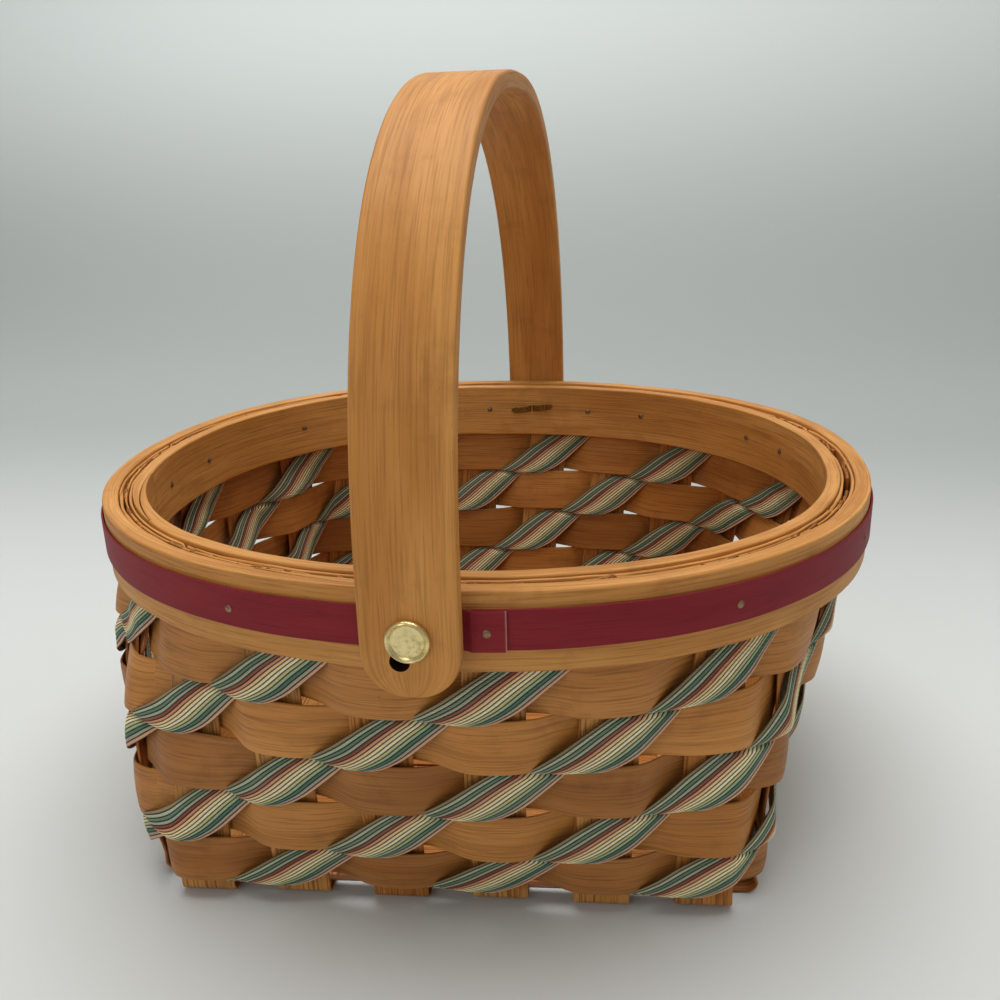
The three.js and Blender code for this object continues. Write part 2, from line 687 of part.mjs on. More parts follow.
function handleSection(y, z, across, inward) {
  const half = HANDLE_THICKNESS / 2;
  const flat = half - HANDLE_EDGE;
  const outline = [
    [-across, flat], [-across + HANDLE_EDGE, half], [across - HANDLE_EDGE, half], [across, flat],
    [across, -flat], [across - HANDLE_EDGE, -half], [-across + HANDLE_EDGE, -half], [-across, -flat],
  ];
  return outline.map(([x, depth]) => new THREE.Vector3(x, y + inward.x * depth, z + inward.y * depth));
}

// Half the strip's width at a distance from its rounded tip
function tipHalfWidth(distance) {
  const short = Math.max(HANDLE_TIP_RADIUS - distance, 0);
  const round = Math.sqrt(HANDLE_TIP_RADIUS ** 2 - short ** 2);
  return HANDLE_WIDTH / 2 - HANDLE_TIP_RADIUS + round;
}

function handleRings() {
  const rings = [];
  for (let i = 0; i <= HANDLE_TIP_STATIONS; i += 1) {
    const distance = HANDLE_TIP_RADIUS * (1 - Math.cos((i / HANDLE_TIP_STATIONS) * (Math.PI / 2)));
    const facing = new THREE.Vector2(1, 0);
    rings.push(handleSection(-HANDLE_HALF_SPAN, distance - HANDLE_TAIL, tipHalfWidth(distance), facing));
  }
  const arch = (angle) => {
    const along = Math.cos(angle);
    const power = along > 0 ? HANDLE_FRONT_POWER : HANDLE_BACK_POWER;
    return new THREE.Vector2(
      -HANDLE_HALF_SPAN * Math.sign(along) * Math.abs(along) ** (2 / power),
      HANDLE_RISE * Math.sin(angle) ** (2 / power),
    );
  };
  for (let i = 0; i <= HANDLE_ARCH_STATIONS; i += 1) {
    const angle = (i / HANDLE_ARCH_STATIONS) * Math.PI;
    const here = arch(angle);
    const before = i === 0 ? here : arch(angle - Math.PI / HANDLE_ARCH_STATIONS);
    const after = i === HANDLE_ARCH_STATIONS ? here : arch(angle + Math.PI / HANDLE_ARCH_STATIONS);
    const run = after.clone().sub(before).normalize();
    const end = i === 0 || i === HANDLE_ARCH_STATIONS;
    const inward = end ? new THREE.Vector2(i === 0 ? 1 : -1, 0) : new THREE.Vector2(run.y, -run.x);
    rings.push(handleSection(here.x, here.y, HANDLE_WIDTH / 2, inward));
  }
  for (let i = HANDLE_TIP_STATIONS; i >= 0; i -= 1) {
    const distance = HANDLE_TIP_RADIUS * (1 - Math.cos((i / HANDLE_TIP_STATIONS) * (Math.PI / 2)));
    const facing = new THREE.Vector2(-1, 0);
    rings.push(handleSection(HANDLE_HALF_SPAN, distance - HANDLE_TAIL, tipHalfWidth(distance), facing));
  }
  return rings;
}

function addHandle() {
  const reach = HANDLE_HALF_SPAN + HANDLE_THICKNESS;
  const near = HANDLE_HALF_SPAN - HANDLE_THICKNESS;
  const pin = PIN_SHANK_RADIUS + CLEARANCE;
  const solid = cut(loft(handleRings()), [
    boreAlongY(pin, -reach, -near, 0, 0),
    boreAlongY(pin, near, reach, 0, 0),
    boreAlongY(SPARE_HOLE_RADIUS, -reach, -near, -SPARE_HOLE_OFFSET, -SPARE_HOLE_DROP),
  ]);
  const swing = new THREE.Group();
  swing.position.set(HANDLE_X, 0, PIVOT_HEIGHT);
  addPart(swing, 'handle', solid, HANDLE_WOOD);
  basket.add(swing);
}

// Split pins, drawn along +Y outwards from the inner hoop's inner face

function pinSolid() {
  const innerFace = RIM_HALF_WIDTH + INNER_HOOP_FACE;
  const seat = HANDLE_INSIDE + HANDLE_THICKNESS + CLEARANCE - innerFace;
  const bow = ovalDepth(HANDLE_X + PIN_LEG_LENGTH) - ovalDepth(HANDLE_X);
  const legTop = -bow - CLEARANCE;
  const profile = [
    [0, legTop - PIN_LEG_THICKNESS],
    [PIN_SHANK_RADIUS, legTop - PIN_LEG_THICKNESS],
    [PIN_SHANK_RADIUS, seat],
    [PIN_HEAD_RADIUS - PIN_HEAD_DISH / 2, seat],
    [PIN_HEAD_RADIUS, seat + PIN_HEAD_RIM / 2],
    [PIN_HEAD_RADIUS - PIN_RIM_WIDTH / 2, seat + PIN_HEAD_RIM],
    [PIN_HEAD_RADIUS - PIN_RIM_WIDTH, seat + PIN_HEAD_DISH],
    [0, seat + PIN_HEAD_DISH],
  ].map(([radius, along]) => new THREE.Vector2(radius, along));
  const shank = toManifold(new THREE.LatheGeometry(profile, PIN_SIDES));
  const legs = new THREE.BoxGeometry(2 * PIN_LEG_LENGTH, PIN_LEG_THICKNESS, PIN_LEG_WIDTH);
  legs.translate(0, legTop - PIN_LEG_THICKNESS / 2, 0);
  const geometry = fromManifold(shank.add(toManifold(legs)));
  geometry.translate(0, innerFace, 0);
  return geometry;
}

function addPins() {
  const front = addPart(basket, 'pivot_pin_front', pinSolid(), BRASS);
  front.rotation.z = Math.PI;
  front.position.set(HANDLE_X, 0, PIVOT_HEIGHT);
  const back = addPart(basket, 'pivot_pin_back', pinSolid(), BRASS);
  back.position.set(HANDLE_X, 0, PIVOT_HEIGHT);
}

// Tacks

function tackSolid(bandLayers) {
  const face = BAND_FACE + CLEARANCE + bandLayers * (BAND_THICKNESS + CLEARANCE);
  const profile = [
    [0, INNER_HOOP_FACE - TACK_POINT],
    [TACK_SHANK_RADIUS, INNER_HOOP_FACE],
    [TACK_SHANK_RADIUS, face],
    [TACK_HEAD_RADIUS, face],
    [TACK_HEAD_RADIUS / 2, face + TACK_HEAD_HEIGHT],
    [0, face + TACK_HEAD_HEIGHT],
  ].map(([radius, along]) => new THREE.Vector2(radius, along));
  return new THREE.LatheGeometry(profile, TACK_SIDES);
}

function addTacks() {
  tackPlaces.forEach((place, i) => {
    const lapped = bandLapHolds(place) ? 1 : 0;
    const tack = addPart(basket, `tack_${String(i + 1).padStart(2, '0')}`, tackSolid(lapped), TACK_STEEL);
    tack.rotation.z = place.turn;
    tack.position.set(place.foot.x, place.foot.y, RIM_HEIGHT - TACK_DROP);
  });
}

// Whether a tack goes through both layers of the band's lap
function bandLapHolds(place) {
  const near = (distance) => rimLine.at(distance).distanceTo(place.foot);
  const middle = BAND_LAP_START + BAND_LAP / 2;
  return near(middle) < BAND_LAP / 2;
}

addStakes();
for (let row = 0; row < WEAVER_ROWS; row += 1) {
  addPart(basket, `weaver_row_${row + 1}`, weaverSolid(row), WEAVER_WOOD);
}
addRibbons();
addRim();
addHandle();
addPins();
addTacks();

export default basket;
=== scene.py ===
# A woven wooden basket with striped ribbons in its weave, a painted band round its rim and a
# bentwood handle that swings on two split pins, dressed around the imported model.
import math
from bisect import bisect_right

import bmesh
import bpy
from mathutils import Matrix, Vector


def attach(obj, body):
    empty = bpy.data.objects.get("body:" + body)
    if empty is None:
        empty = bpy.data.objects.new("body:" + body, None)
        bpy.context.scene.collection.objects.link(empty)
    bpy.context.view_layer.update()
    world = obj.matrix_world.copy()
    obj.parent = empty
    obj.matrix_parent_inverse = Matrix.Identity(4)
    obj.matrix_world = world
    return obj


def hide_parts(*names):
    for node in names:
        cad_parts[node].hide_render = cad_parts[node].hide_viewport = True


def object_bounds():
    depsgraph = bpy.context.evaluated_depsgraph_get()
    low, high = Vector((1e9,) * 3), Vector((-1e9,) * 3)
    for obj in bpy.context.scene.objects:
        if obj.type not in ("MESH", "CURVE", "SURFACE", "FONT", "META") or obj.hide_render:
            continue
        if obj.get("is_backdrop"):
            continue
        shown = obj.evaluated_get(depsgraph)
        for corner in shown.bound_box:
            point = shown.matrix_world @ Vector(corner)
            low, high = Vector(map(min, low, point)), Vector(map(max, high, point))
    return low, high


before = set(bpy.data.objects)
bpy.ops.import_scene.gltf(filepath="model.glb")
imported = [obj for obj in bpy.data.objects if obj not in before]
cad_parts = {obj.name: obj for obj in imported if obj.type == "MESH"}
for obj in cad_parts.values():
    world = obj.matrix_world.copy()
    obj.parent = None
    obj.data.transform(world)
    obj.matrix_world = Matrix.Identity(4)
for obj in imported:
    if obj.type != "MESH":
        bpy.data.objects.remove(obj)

CAD_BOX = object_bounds()

bl_info = {
    "name": "Woven Basket",
    "version": (1, 0, 0),
    "blender": (4, 5, 0),
    "location": "3D View > Sidebar > Basket",
    "description": "Builds a woven basket with a ribbon trim, a painted band and a swing handle",
    "category": "Add Mesh",
}

# Lengths are in millimetres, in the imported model's frame, and go into meshes in metres
MM = 0.001
# Left open between pieces that are laid on each other
PIECE_GAP = 0.3

# Stakes, the wall's uprights, which are numbered from the front left corner
STAKES_PER_SIDE = 6
STAKE_ENDS = 4 * STAKES_PER_SIDE
STAKE_WIDTH = 19.5
STAKE_THICKNESS = 1.0
STAKE_PITCH = 35.0
STAKE_GAP = STAKE_PITCH - STAKE_WIDTH
STAKE_TOP_DROP = 1.4
# The rounded edges of stakes, weavers and the handle are given as a share of their width
STAKE_EDGE = 0.02

# Base
BASE_TURN = math.radians(4.4)
BASE_MIDDLE = Vector((-7.0, 3.0))
BEND_RADIUS = STAKE_GAP * 2 / math.pi
FOLD_RADIUS = 4.2
BASE_FLAT = (STAKES_PER_SIDE * STAKE_PITCH - STAKE_GAP) / 2
BASE_HALF = BASE_FLAT + BEND_RADIUS
UNDER_LEVEL = 0.5
OVER_LEVEL = 1.8
# A stake stays level for this far beside each stake that it crosses
CROSSING_EASE = 0.3
# The splint inside the stakes' turn: degrees of the turn that it covers, and its two faces
SPLINT_TURN = (28, 41, 54, 66, 78)
SPLINT_FACES = (-0.65, -1.25)

# Rim
RIM_HALF_LENGTH = 138.5
RIM_HALF_WIDTH = 127.5
RIM_POWER = 2.16
RIM_HEIGHT = 134.5
RIM_SHIFT = 5.6
RIM_DRIFT = 2.7
WALL_BELLY_POWERS = (1.35, 1.5, 1.35, 2.2)
WALL_SPREAD_POWER = 0.8
STAKE_TWIST_POWER = 1.5
HOOP_HEIGHT = 25.4
HOOP_BOTTOM = RIM_HEIGHT - HOOP_HEIGHT
OUTER_HOOP_THICKNESS = 5.5
INNER_HOOP_THICKNESS = 4.8
HOOP_GAP = 5.0
HOOP_LAP = 60.0
HOOP_FEATHER = 0.35
OUTER_LAP_START = -48.0
INNER_LAP_START = 676.0
OUTER_HOOP_INSIDE = HOOP_GAP / 2
OUTER_HOOP_FACE = OUTER_HOOP_INSIDE + OUTER_HOOP_THICKNESS
INNER_HOOP_FACE = -HOOP_GAP / 2 - INNER_HOOP_THICKNESS
WALL_RISE = HOOP_BOTTOM - BEND_RADIUS

# Band
BAND_WIDTH = 12.7
BAND_THICKNESS = 0.8
BAND_DROP = 5.1
BAND_LAP = 9.0
BAND_LAP_START = 18.5
BAND_INSIDE = OUTER_HOOP_FACE + PIECE_GAP
BAND_FACE = BAND_INSIDE + BAND_THICKNESS
BAND_EDGE = 0.35
BAND_ROUNDING = 0.8
BAND_BARE_END = 0.5

# Weavers, counted from the top row
WEAVER_ROWS = 5
WEAVER_THICKNESS = 1.0
WEAVER_EDGE = 0.025
WEAVER_SWING = 2.6
WEAVER_SQUARENESS = 1.5
ROW_GAP = 1.2
ROWS_TOP = HOOP_BOTTOM - 0.5 + ROW_GAP / 2
ROWS_BOTTOM = 10.0
ROWS_HEIGHT = ROWS_TOP - ROWS_BOTTOM + ROW_GAP / 2
WEAVER_PITCH = ROWS_HEIGHT / (WEAVER_ROWS - 1 + 0.8)

# Ribbons
RIBBON_THICKNESS = 0.6
RIBBON_LIE = 1.1
RIBBON_CORDS = 14
RIBBON_LOWEST = 4.0

# Handle and pins
HANDLE_WIDTH = 28.6
HANDLE_THICKNESS = 6.0
HANDLE_X = 2.8
HANDLE_RISE = 149.5
HANDLE_FRONT_POWER = 2.6
HANDLE_BACK_POWER = 2.2
HANDLE_TAIL = 17.7
HANDLE_TIP_RADIUS = 12.5
PIVOT_HEIGHT = RIM_HEIGHT - 11.2
HANDLE_INSIDE = RIM_HALF_WIDTH + BAND_FACE + 1.5
HANDLE_HALF_SPAN = HANDLE_INSIDE + HANDLE_THICKNESS / 2
HANDLE_EDGE = 0.03
HANDLE_ROUNDING = 0.3
SPARE_HOLE = (-2.8, -6.9)
SPARE_HOLE_RADII = (0.5, 3.8)
# The pins' legs: half the gap between them, half their width, their thickness, the reach of
# their turn, how far they bow towards the hoop, and where their rounded ends begin and their reach
PIN_LEG_GAP = 0.45
PIN_LEG_WIDTH = 1.7
PIN_LEG_THICKNESS = 0.8
PIN_LEG_TURN = (1.3, 1.4)
PIN_LEG_BOW = 0.75
PIN_LEG_END = (7.2, 3.6)
# A pin's head from its middle outwards and round to its seat: radius and rise above the seat
PIN_HEAD = (
    (0, 1.15), (2.4, 1.05), (3.9, 0.8), (4.7, 0.78), (5.0, 1.1), (5.3, 1.6), (5.7, 1.85),
    (6.1, 1.7), (6.4, 1.2), (6.5, 0.6), (6.2, 0.1), (5.6, 0), (2.0, -0.05),
)
PIN_SHANK = 2.0
# A tack's head, over the band's face, and its point, over the inner hoop's face
TACK_HEAD = ((0, 0.55), (0.55, 0.5), (0.95, 0.36), (1.25, 0.14), (1.25, -0.02), (0.7, -0.05))
TACK_POINT = ((0.7, 0.4), (1.2, 0.1), (1.25, -0.3), (0.7, -0.6), (0, -0.7))
TACK_DROP = 12.0
TACK_STAKES = (1.34, 3.46, 5.45, 7.4, 10.35, 11.11, 13.01, 13.87, 15.42, 18.44, 20.35, 21.4, 22.35)

# Stage, in metres: each lamp's name, place, target, size, power and colour
LAMPS = (
    ("overhead", (0.0, 0.15, 1.7), (0, 0.05, 0), 1.7, 27, (1.0, 0.985, 0.96)),
    ("backdrop", (-0.8, 0.6, 1.4), (-1.0, 1.75, 0.5), 0.9, 5.5, (0.97, 1.0, 1.0)),
    ("front", (-0.7, -1.5, 0.9), (0, 0, 0.08), 1.0, 3.6, (1.0, 0.97, 0.93)),
)
SKY_STRENGTH = 0.41
# The photograph's viewpoint, found by fitting the rim, the handle and the base
CAMERA_PLACE = (0.06945, -0.37988, 0.24766)
CAMERA_AZIMUTH = math.radians(9.641)
CAMERA_ELEVATION = math.radians(19.114)
CAMERA_ROLL = math.radians(1.557)
CAMERA_LENS, SENSOR_WIDTH = 35.646, 36.0
# The floor starts this far in front of the middle, and bends up into the backdrop behind it
FLOOR_FRONT = 1.6
FLOOR_BEND_START = 0.9
FLOOR_BEND_RADIUS = 0.9


def lerp(a, b, share):
    return a + (b - a) * share


def clamp(value, low=0.0, high=1.0):
    return min(max(value, low), high)


def smooth(share):
    share = clamp(share)
    return share * share * (3 - 2 * share)


def beside(items, i):
    """The items before and after one, or an end item itself."""
    return items[max(i - 1, 0)], items[min(i + 1, len(items) - 1)]


def raised(point, z):
    """A point of the plan at a height."""
    return Vector((point.x, point.y, z))


def scatter(*seeds):
    """A fixed number between -1 and 1 for these seeds."""
    mixed = sum(seed * weight for seed, weight in zip(seeds, (12.9898, 78.233, 37.719)))
    mixed = math.sin(mixed) * 43758.5453
    return 2 * (mixed - math.floor(mixed)) - 1


def wander(place, seed):
    """A smooth wave of no regular pitch between about -1 and 1."""
    return (math.sin(place + seed * 1.7) + 0.6 * math.sin(2.3 * place + seed * 4.1)
            + 0.4 * math.sin(4.7 * place + seed * 2.9)) / 2


# The rim's line and the base's line


def oval_point(angle):
    c, s = math.cos(angle), math.sin(angle)
    return Vector((
        RIM_HALF_LENGTH * math.copysign(abs(c) ** (2 / RIM_POWER), c),
        RIM_HALF_WIDTH * math.copysign(abs(s) ** (2 / RIM_POWER), s),
    ))


class RimLine:
    """The oval midway between the hoops, by distance from the middle of the front."""

    def __init__(self, count=1440):
        self.points = [oval_point(-math.pi / 2 + i / count * 2 * math.pi) for i in range(count)]
        self.points.append(self.points[0])
        self.lengths = [0.0]
        for here, after in zip(self.points, self.points[1:]):
            self.lengths.append(self.lengths[-1] + (after - here).length)
        self.length = self.lengths[-1]

    def at(self, distance):
        along = distance % self.length
        i = min(bisect_right(self.lengths, along), len(self.points) - 1) - 1
        span = self.lengths[i + 1] - self.lengths[i]
        return self.points[i].lerp(self.points[i + 1], (along - self.lengths[i]) / span)

    def out(self, distance):
        run = (self.at(distance + 2) - self.at(distance - 2)).normalized()
        return Vector((run.y, -run.x))


RIM = RimLine()


def rim_distance(stake):
    share = (stake - STAKES_PER_SIDE / 2) / STAKE_ENDS
    return share * RIM.length + RIM_SHIFT + RIM_DRIFT * math.sin(share * 2 * math.pi)


def turned(point, angle):
    c, s = math.cos(angle), math.sin(angle)
    return Vector((point.x * c - point.y * s, point.x * s + point.y * c))


STAKE_FEET = {}


def stake_foot(middle):
    """A stake's foot and rim points, the ways it faces there and its side of the base."""
    key = middle % STAKE_ENDS
    if key not in STAKE_FEET:
        side = int(key // STAKES_PER_SIDE)
        angle = BASE_TURN + side * math.pi / 2
        along = (key - side * STAKES_PER_SIDE) * STAKE_PITCH
        foot = turned(Vector((-BASE_FLAT + along - STAKE_GAP / 2, -BASE_HALF)), angle) + BASE_MIDDLE
        facing = turned(Vector((0, -1)), angle)
        distance = rim_distance(key)
        STAKE_FEET[key] = (foot, RIM.at(distance), facing, RIM.out(distance), side)
    return STAKE_FEET[key]


# How far the hand-woven wall stands out from an even one: heights, and distances there on the
# left and on the right
WALL_SLACK = (
    (4.0, -1.0, -2.0), (30.0, 7.6, -2.2), (58.0, 11.0, -1.0),
    (80.0, 7.4, -1.6), (97.0, 2.0, -2.2), (109.0, 0.0, 0.0),
)
# The middle and the reach of each of them round the wall, in stakes
SLACK_LEFT, SLACK_RIGHT = (21.6, 4.2), (7.5, 3.5)


def nearness(stake, middle, reach):
    """1 at the middle and 0 beyond the reach, smooth between them."""
    return smooth(1 - abs(stake - middle) / reach)


def slack(middle, z):
    left, right = (nearness(middle % STAKE_ENDS, *place) for place in (SLACK_LEFT, SLACK_RIGHT))
    if left == right == 0:
        return 0.0
    level = clamp(z, WALL_SLACK[0][0], WALL_SLACK[-1][0])
    i = next(i for i in range(1, len(WALL_SLACK)) if level <= WALL_SLACK[i][0])
    below, above = WALL_SLACK[i - 1], WALL_SLACK[i]
    share = smooth((level - below[0]) / (above[0] - below[0]))
    return left * lerp(below[1], above[1], share) + right * lerp(below[2], above[2], share)


def stake_frame(middle, z):
    """Where a stake stands at a height: its middle, the way it faces and the way round."""
    foot, head, foot_facing, head_facing, side = stake_foot(middle)
    rise = clamp((z - BEND_RADIUS) / WALL_RISE)
    out = 1 - (1 - rise) ** WALL_BELLY_POWERS[side]
    sideways = 1 - (1 - rise) ** WALL_SPREAD_POWER
    share_x, share_y = (sideways, out) if side % 2 == 0 else (out, sideways)
    point = Vector((lerp(foot.x, head.x, share_x), lerp(foot.y, head.y, share_y)))
    facing = foot_facing.lerp(head_facing, rise ** STAKE_TWIST_POWER).normalized()
    return point + facing * slack(middle, z), facing, Vector((-facing.y, facing.x))


def wall_place(stake, z):
    """The wall is straight across each flat stake and straight from one to the next."""
    middle = math.floor(stake) + 0.5
    offset = (stake - middle) * STAKE_PITCH
    point, facing, round_way = stake_frame(middle, z)
    reach = clamp(offset, -STAKE_WIDTH / 2, STAKE_WIDTH / 2)
    edge = point + round_way * reach
    if reach == offset:
        return edge, facing
    next_point, next_facing, next_round = stake_frame(middle + math.copysign(1, offset), z)
    far = next_point - next_round * reach
    share = (abs(offset) - STAKE_WIDTH / 2) / STAKE_GAP
    return edge.lerp(far, share), facing.lerp(next_facing, share).normalized()


def upturn_inset(z):
    drop = clamp((BEND_RADIUS - z) / (BEND_RADIUS - OVER_LEVEL))
    return BEND_RADIUS * (1 - math.sqrt(1 - drop * drop))


def wall_point(stake, z, lift, ease):
    """A point at a lift out from the middle of the stakes, its corners eased along the wall."""
    taps = ((-ease, 1.0), (-ease / 2, 2.0), (0.0, 2.0), (ease / 2, 2.0), (ease, 1.0))
    point, facing = Vector((0.0, 0.0)), Vector((0.0, 0.0))
    for step, weight in taps:
        tap, way = wall_place(stake + step, max(z, BEND_RADIUS))
        point += tap * weight
        facing += way * weight
    point /= sum(weight for _, weight in taps)
    facing.normalize()
    inside = clamp(-lift / RIBBON_LIE)
    point += facing * (lift - inside * upturn_inset(z))
    return raised(point, z), facing.to_3d()


# Rows of the weave, counted from the top


def row_ceiling(row):
    return ROWS_TOP - row * WEAVER_PITCH


def row_floor(row):
    return max(row_ceiling(row + 1), ROWS_TOP - ROWS_HEIGHT)


def row_height(row):
    return row_ceiling(row) - row_floor(row)


def row_middle(row):
    return (row_ceiling(row) + row_floor(row)) / 2


# Meshes


def slab_profile(columns, edge, depth=1.0):
    """A flat strip's section as shares: from its upper edge down the face and up the back.

    Points close beside the rounded edges keep the flat faces shaded flat."""
    turns = [math.radians(angle) for angle in (90, 60, 30)]
    rounding = [(edge * (1 - math.sin(turn)), 1 - depth * (1 - math.cos(turn))) for turn in turns]
    if depth == 1:
        rounding = rounding[1:]
        start = [(0.0, 0.0)]
    else:
        start = [(0.0, 0.8 * (1 - depth))]
    flat = [edge, 1.4 * edge] + [i / columns for i in range(1, columns)] + [1 - 1.4 * edge, 1 - edge]
    face = [(across, 1.0) for across in flat]
    ends = [(1 - across, out) for across, out in reversed(start + rounding)]
    half = start + rounding + face + ends
    if depth == 1:
        return half[:-1] + [(1.0, 0.0)] + [(1 - across, -out) for across, out in half[1:-1]]
    return half + [(1 - across, -out) for across, out in half]


def strip_ring(upper, lower, facing, thickness, profile, bulge=None):
    """Points of a strip's section between its two edges, standing out by a bulge on its face."""
    points = []
    for across, depth in profile:
        stand = depth * thickness / 2
        if bulge:
            stand += bulge(across)
        points.append(upper.lerp(lower, across) + facing * stand)
    return points


def sweep(name, rings, loop=False, across=None, offset=0.0, tone=None, sharp=35):
    """A closed skin over rings of points, with u along it and v across it in metres."""
    if loop:
        rings = rings + [rings[0]]
    count, corners = len(rings), len(rings[0])
    bm = bmesh.new()
    bmesh.ops.create_grid(bm, x_segments=count - 1, y_segments=corners, size=0.5)
    uv_layer = bm.loops.layers.uv.new("UVMap")
    tone_layer = bm.verts.layers.float.new("tone")
    lengths = [offset]
    for here, after in zip(rings, rings[1:]):
        lengths.append(lengths[-1] + (sum((b - a).length for a, b in zip(here, after)) / corners) * MM)
    if across is None:
        widest = rings[count // 2]
        across = [0.0]
        for j in range(corners):
            across.append(across[-1] + (widest[(j + 1) % corners] - widest[j]).length * MM)
    places = {}
    for vert in bm.verts:
        i = round((vert.co.x + 0.5) * (count - 1))
        j = round((vert.co.y + 0.5) * corners)
        places[vert] = (i, j)
        vert[tone_layer] = tone(i / (count - 1)) if tone else 0.0
    for face in bm.faces:
        face.smooth = True
        for corner in face.loops:
            i, j = places[corner.vert]
            corner[uv_layer].uv = (lengths[i], across[j])
    for vert, (i, j) in places.items():
        vert.co = rings[i][j % corners] * MM
    bmesh.ops.remove_doubles(bm, verts=bm.verts, dist=1e-7)
    if not loop:
        ends = [edge for edge in bm.edges if edge.is_boundary]
        bmesh.ops.holes_fill(bm, edges=ends, sides=0)
        bmesh.ops.triangulate(bm, faces=[face for face in bm.faces if len(face.verts) > 4])
    bmesh.ops.recalc_face_normals(bm, faces=bm.faces)
    sharpen(bm, sharp)
    return settle(name, bm)


def sharpen(bm, degrees):
    limit = math.radians(degrees)
    for edge in bm.edges:
        edge.smooth = not (edge.is_manifold and edge.calc_face_angle(0.0) > limit)


def settle(name, bm):
    """The finished bmesh as an object at the origin."""
    mesh = bpy.data.meshes.new(name)
    bm.to_mesh(mesh)
    bm.free()
    piece = bpy.data.objects.new(name, mesh)
    bpy.context.scene.collection.objects.link(piece)
    return piece


def stand_for(piece, body, slot, material, *nodes):
    """The piece takes its material, rides on its body and hides the nodes it stands for; its slot is
    not used.
    """
    piece.data.materials.clear()
    piece.data.materials.append(material)
    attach(piece, body)
    if nodes:
        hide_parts(*nodes)


# Materials


def srgb(code):
    """A colour as it is written in eight-bit hexadecimal, made linear."""
    values = [int(code[i:i + 2], 16) / 255 for i in (1, 3, 5)]
    return tuple(v / 12.92 if v <= 0.04045 else ((v + 0.055) / 1.055) ** 2.4 for v in values) + (1.0,)


class Wire:
    """A node's output that can stand in sums, each of which adds its Math node."""

    def __init__(self, finish, socket):
        self.finish, self.socket = finish, socket

    def math(self, operation, *values):
        return self.finish.node("ShaderNodeMath", {"operation": operation}, dict(enumerate(values)))

    def __add__(self, other):
        return self.math("ADD", self, other)

    def __sub__(self, other):
        return self.math("SUBTRACT", self, other)

    def __rsub__(self, other):
        return self.math("SUBTRACT", other, self)

    def __mul__(self, other):
        return self.math("MULTIPLY", self, other)

    __radd__ = __add__
    __rmul__ = __mul__


class Finish:
    """A material and the nodes that make it, with the distances along and across a strip."""

    def __init__(self, name):
        self.material = bpy.data.materials.new(name)
        self.material.use_nodes = True
        self.tree = self.material.node_tree
        self.shader = self.tree.nodes["Principled BSDF"]
        uv = self.node("ShaderNodeTexCoord", output="UV")
        self.along, self.across = (self.part(uv, axis) for axis in (0, 1))

    def node(self, kind, settings=None, inputs=None, output=0):
        """Adds a node with its settings and with values or wires in its sockets."""
        made = self.tree.nodes.new(kind)
        for key, value in (settings or {}).items():
            if key == "stops":
                ramp = made.color_ramp
                ramp.interpolation = value[0]
                while len(ramp.elements) < len(value[1]):
                    ramp.elements.new(1.0)
                for element, (position, colour) in zip(ramp.elements, value[1]):
                    element.position = position
                    element.color = colour
            else:
                setattr(made, key, value)
        for key, value in (inputs or {}).items():
            self.plug(made.inputs[key], value)
        return Wire(self, made.outputs[output])

    def plug(self, socket, value):
        if isinstance(value, Wire):
            self.tree.links.new(value.socket, socket)
        else:
            socket.default_value = value

    def set(self, **values):
        """Puts values or wires into the shader's sockets, named with underscores for spaces."""
        for key, value in values.items():
            self.plug(self.shader.inputs[key.replace("_", " ")], value)

    def part(self, vector, axis):
        return self.node("ShaderNodeSeparateXYZ", inputs={0: vector}, output=axis)

    def place(self):
        return self.node("ShaderNodeTexCoord", output="Object")

    def vector(self, x, y, z=0.0):
        return self.node("ShaderNodeCombineXYZ", inputs={0: x, 1: y, 2: z})

    def noise(self, vector, scale=1.0, detail=2.0, roughness=0.5, distortion=0.0):
        return self.node("ShaderNodeTexNoise", inputs={
            "Vector": vector, "Scale": scale, "Detail": detail,
            "Roughness": roughness, "Distortion": distortion,
        })

    def grain(self, along, across, **shape):
        """Noise with so many cells for each metre along the strip and across it."""
        return self.noise(self.vector(self.along * along, self.across * across), **shape)

    def sine(self, value):
        return self.node("ShaderNodeMath", {"operation": "SINE"}, {0: value})

    def band(self, value, low, high):
        """0 below the low value and 1 above the high one, smooth between them."""
        return self.node("ShaderNodeMapRange", {"interpolation_type": "SMOOTHSTEP"},
                         {"Value": value, "From Min": low, "From Max": high})

    def blend(self, share, a, b, mode="MIX"):
        return self.node("ShaderNodeMix", {"data_type": "RGBA", "blend_type": mode},
                         {0: share, 6: a, 7: b}, output=2)

    def attribute(self, name):
        return self.node("ShaderNodeAttribute", {"attribute_name": name}, output="Fac")

    def bump(self, height, distance):
        return self.node("ShaderNodeBump", inputs={
            "Height": height, "Distance": distance, "Strength": 1.0,
        })


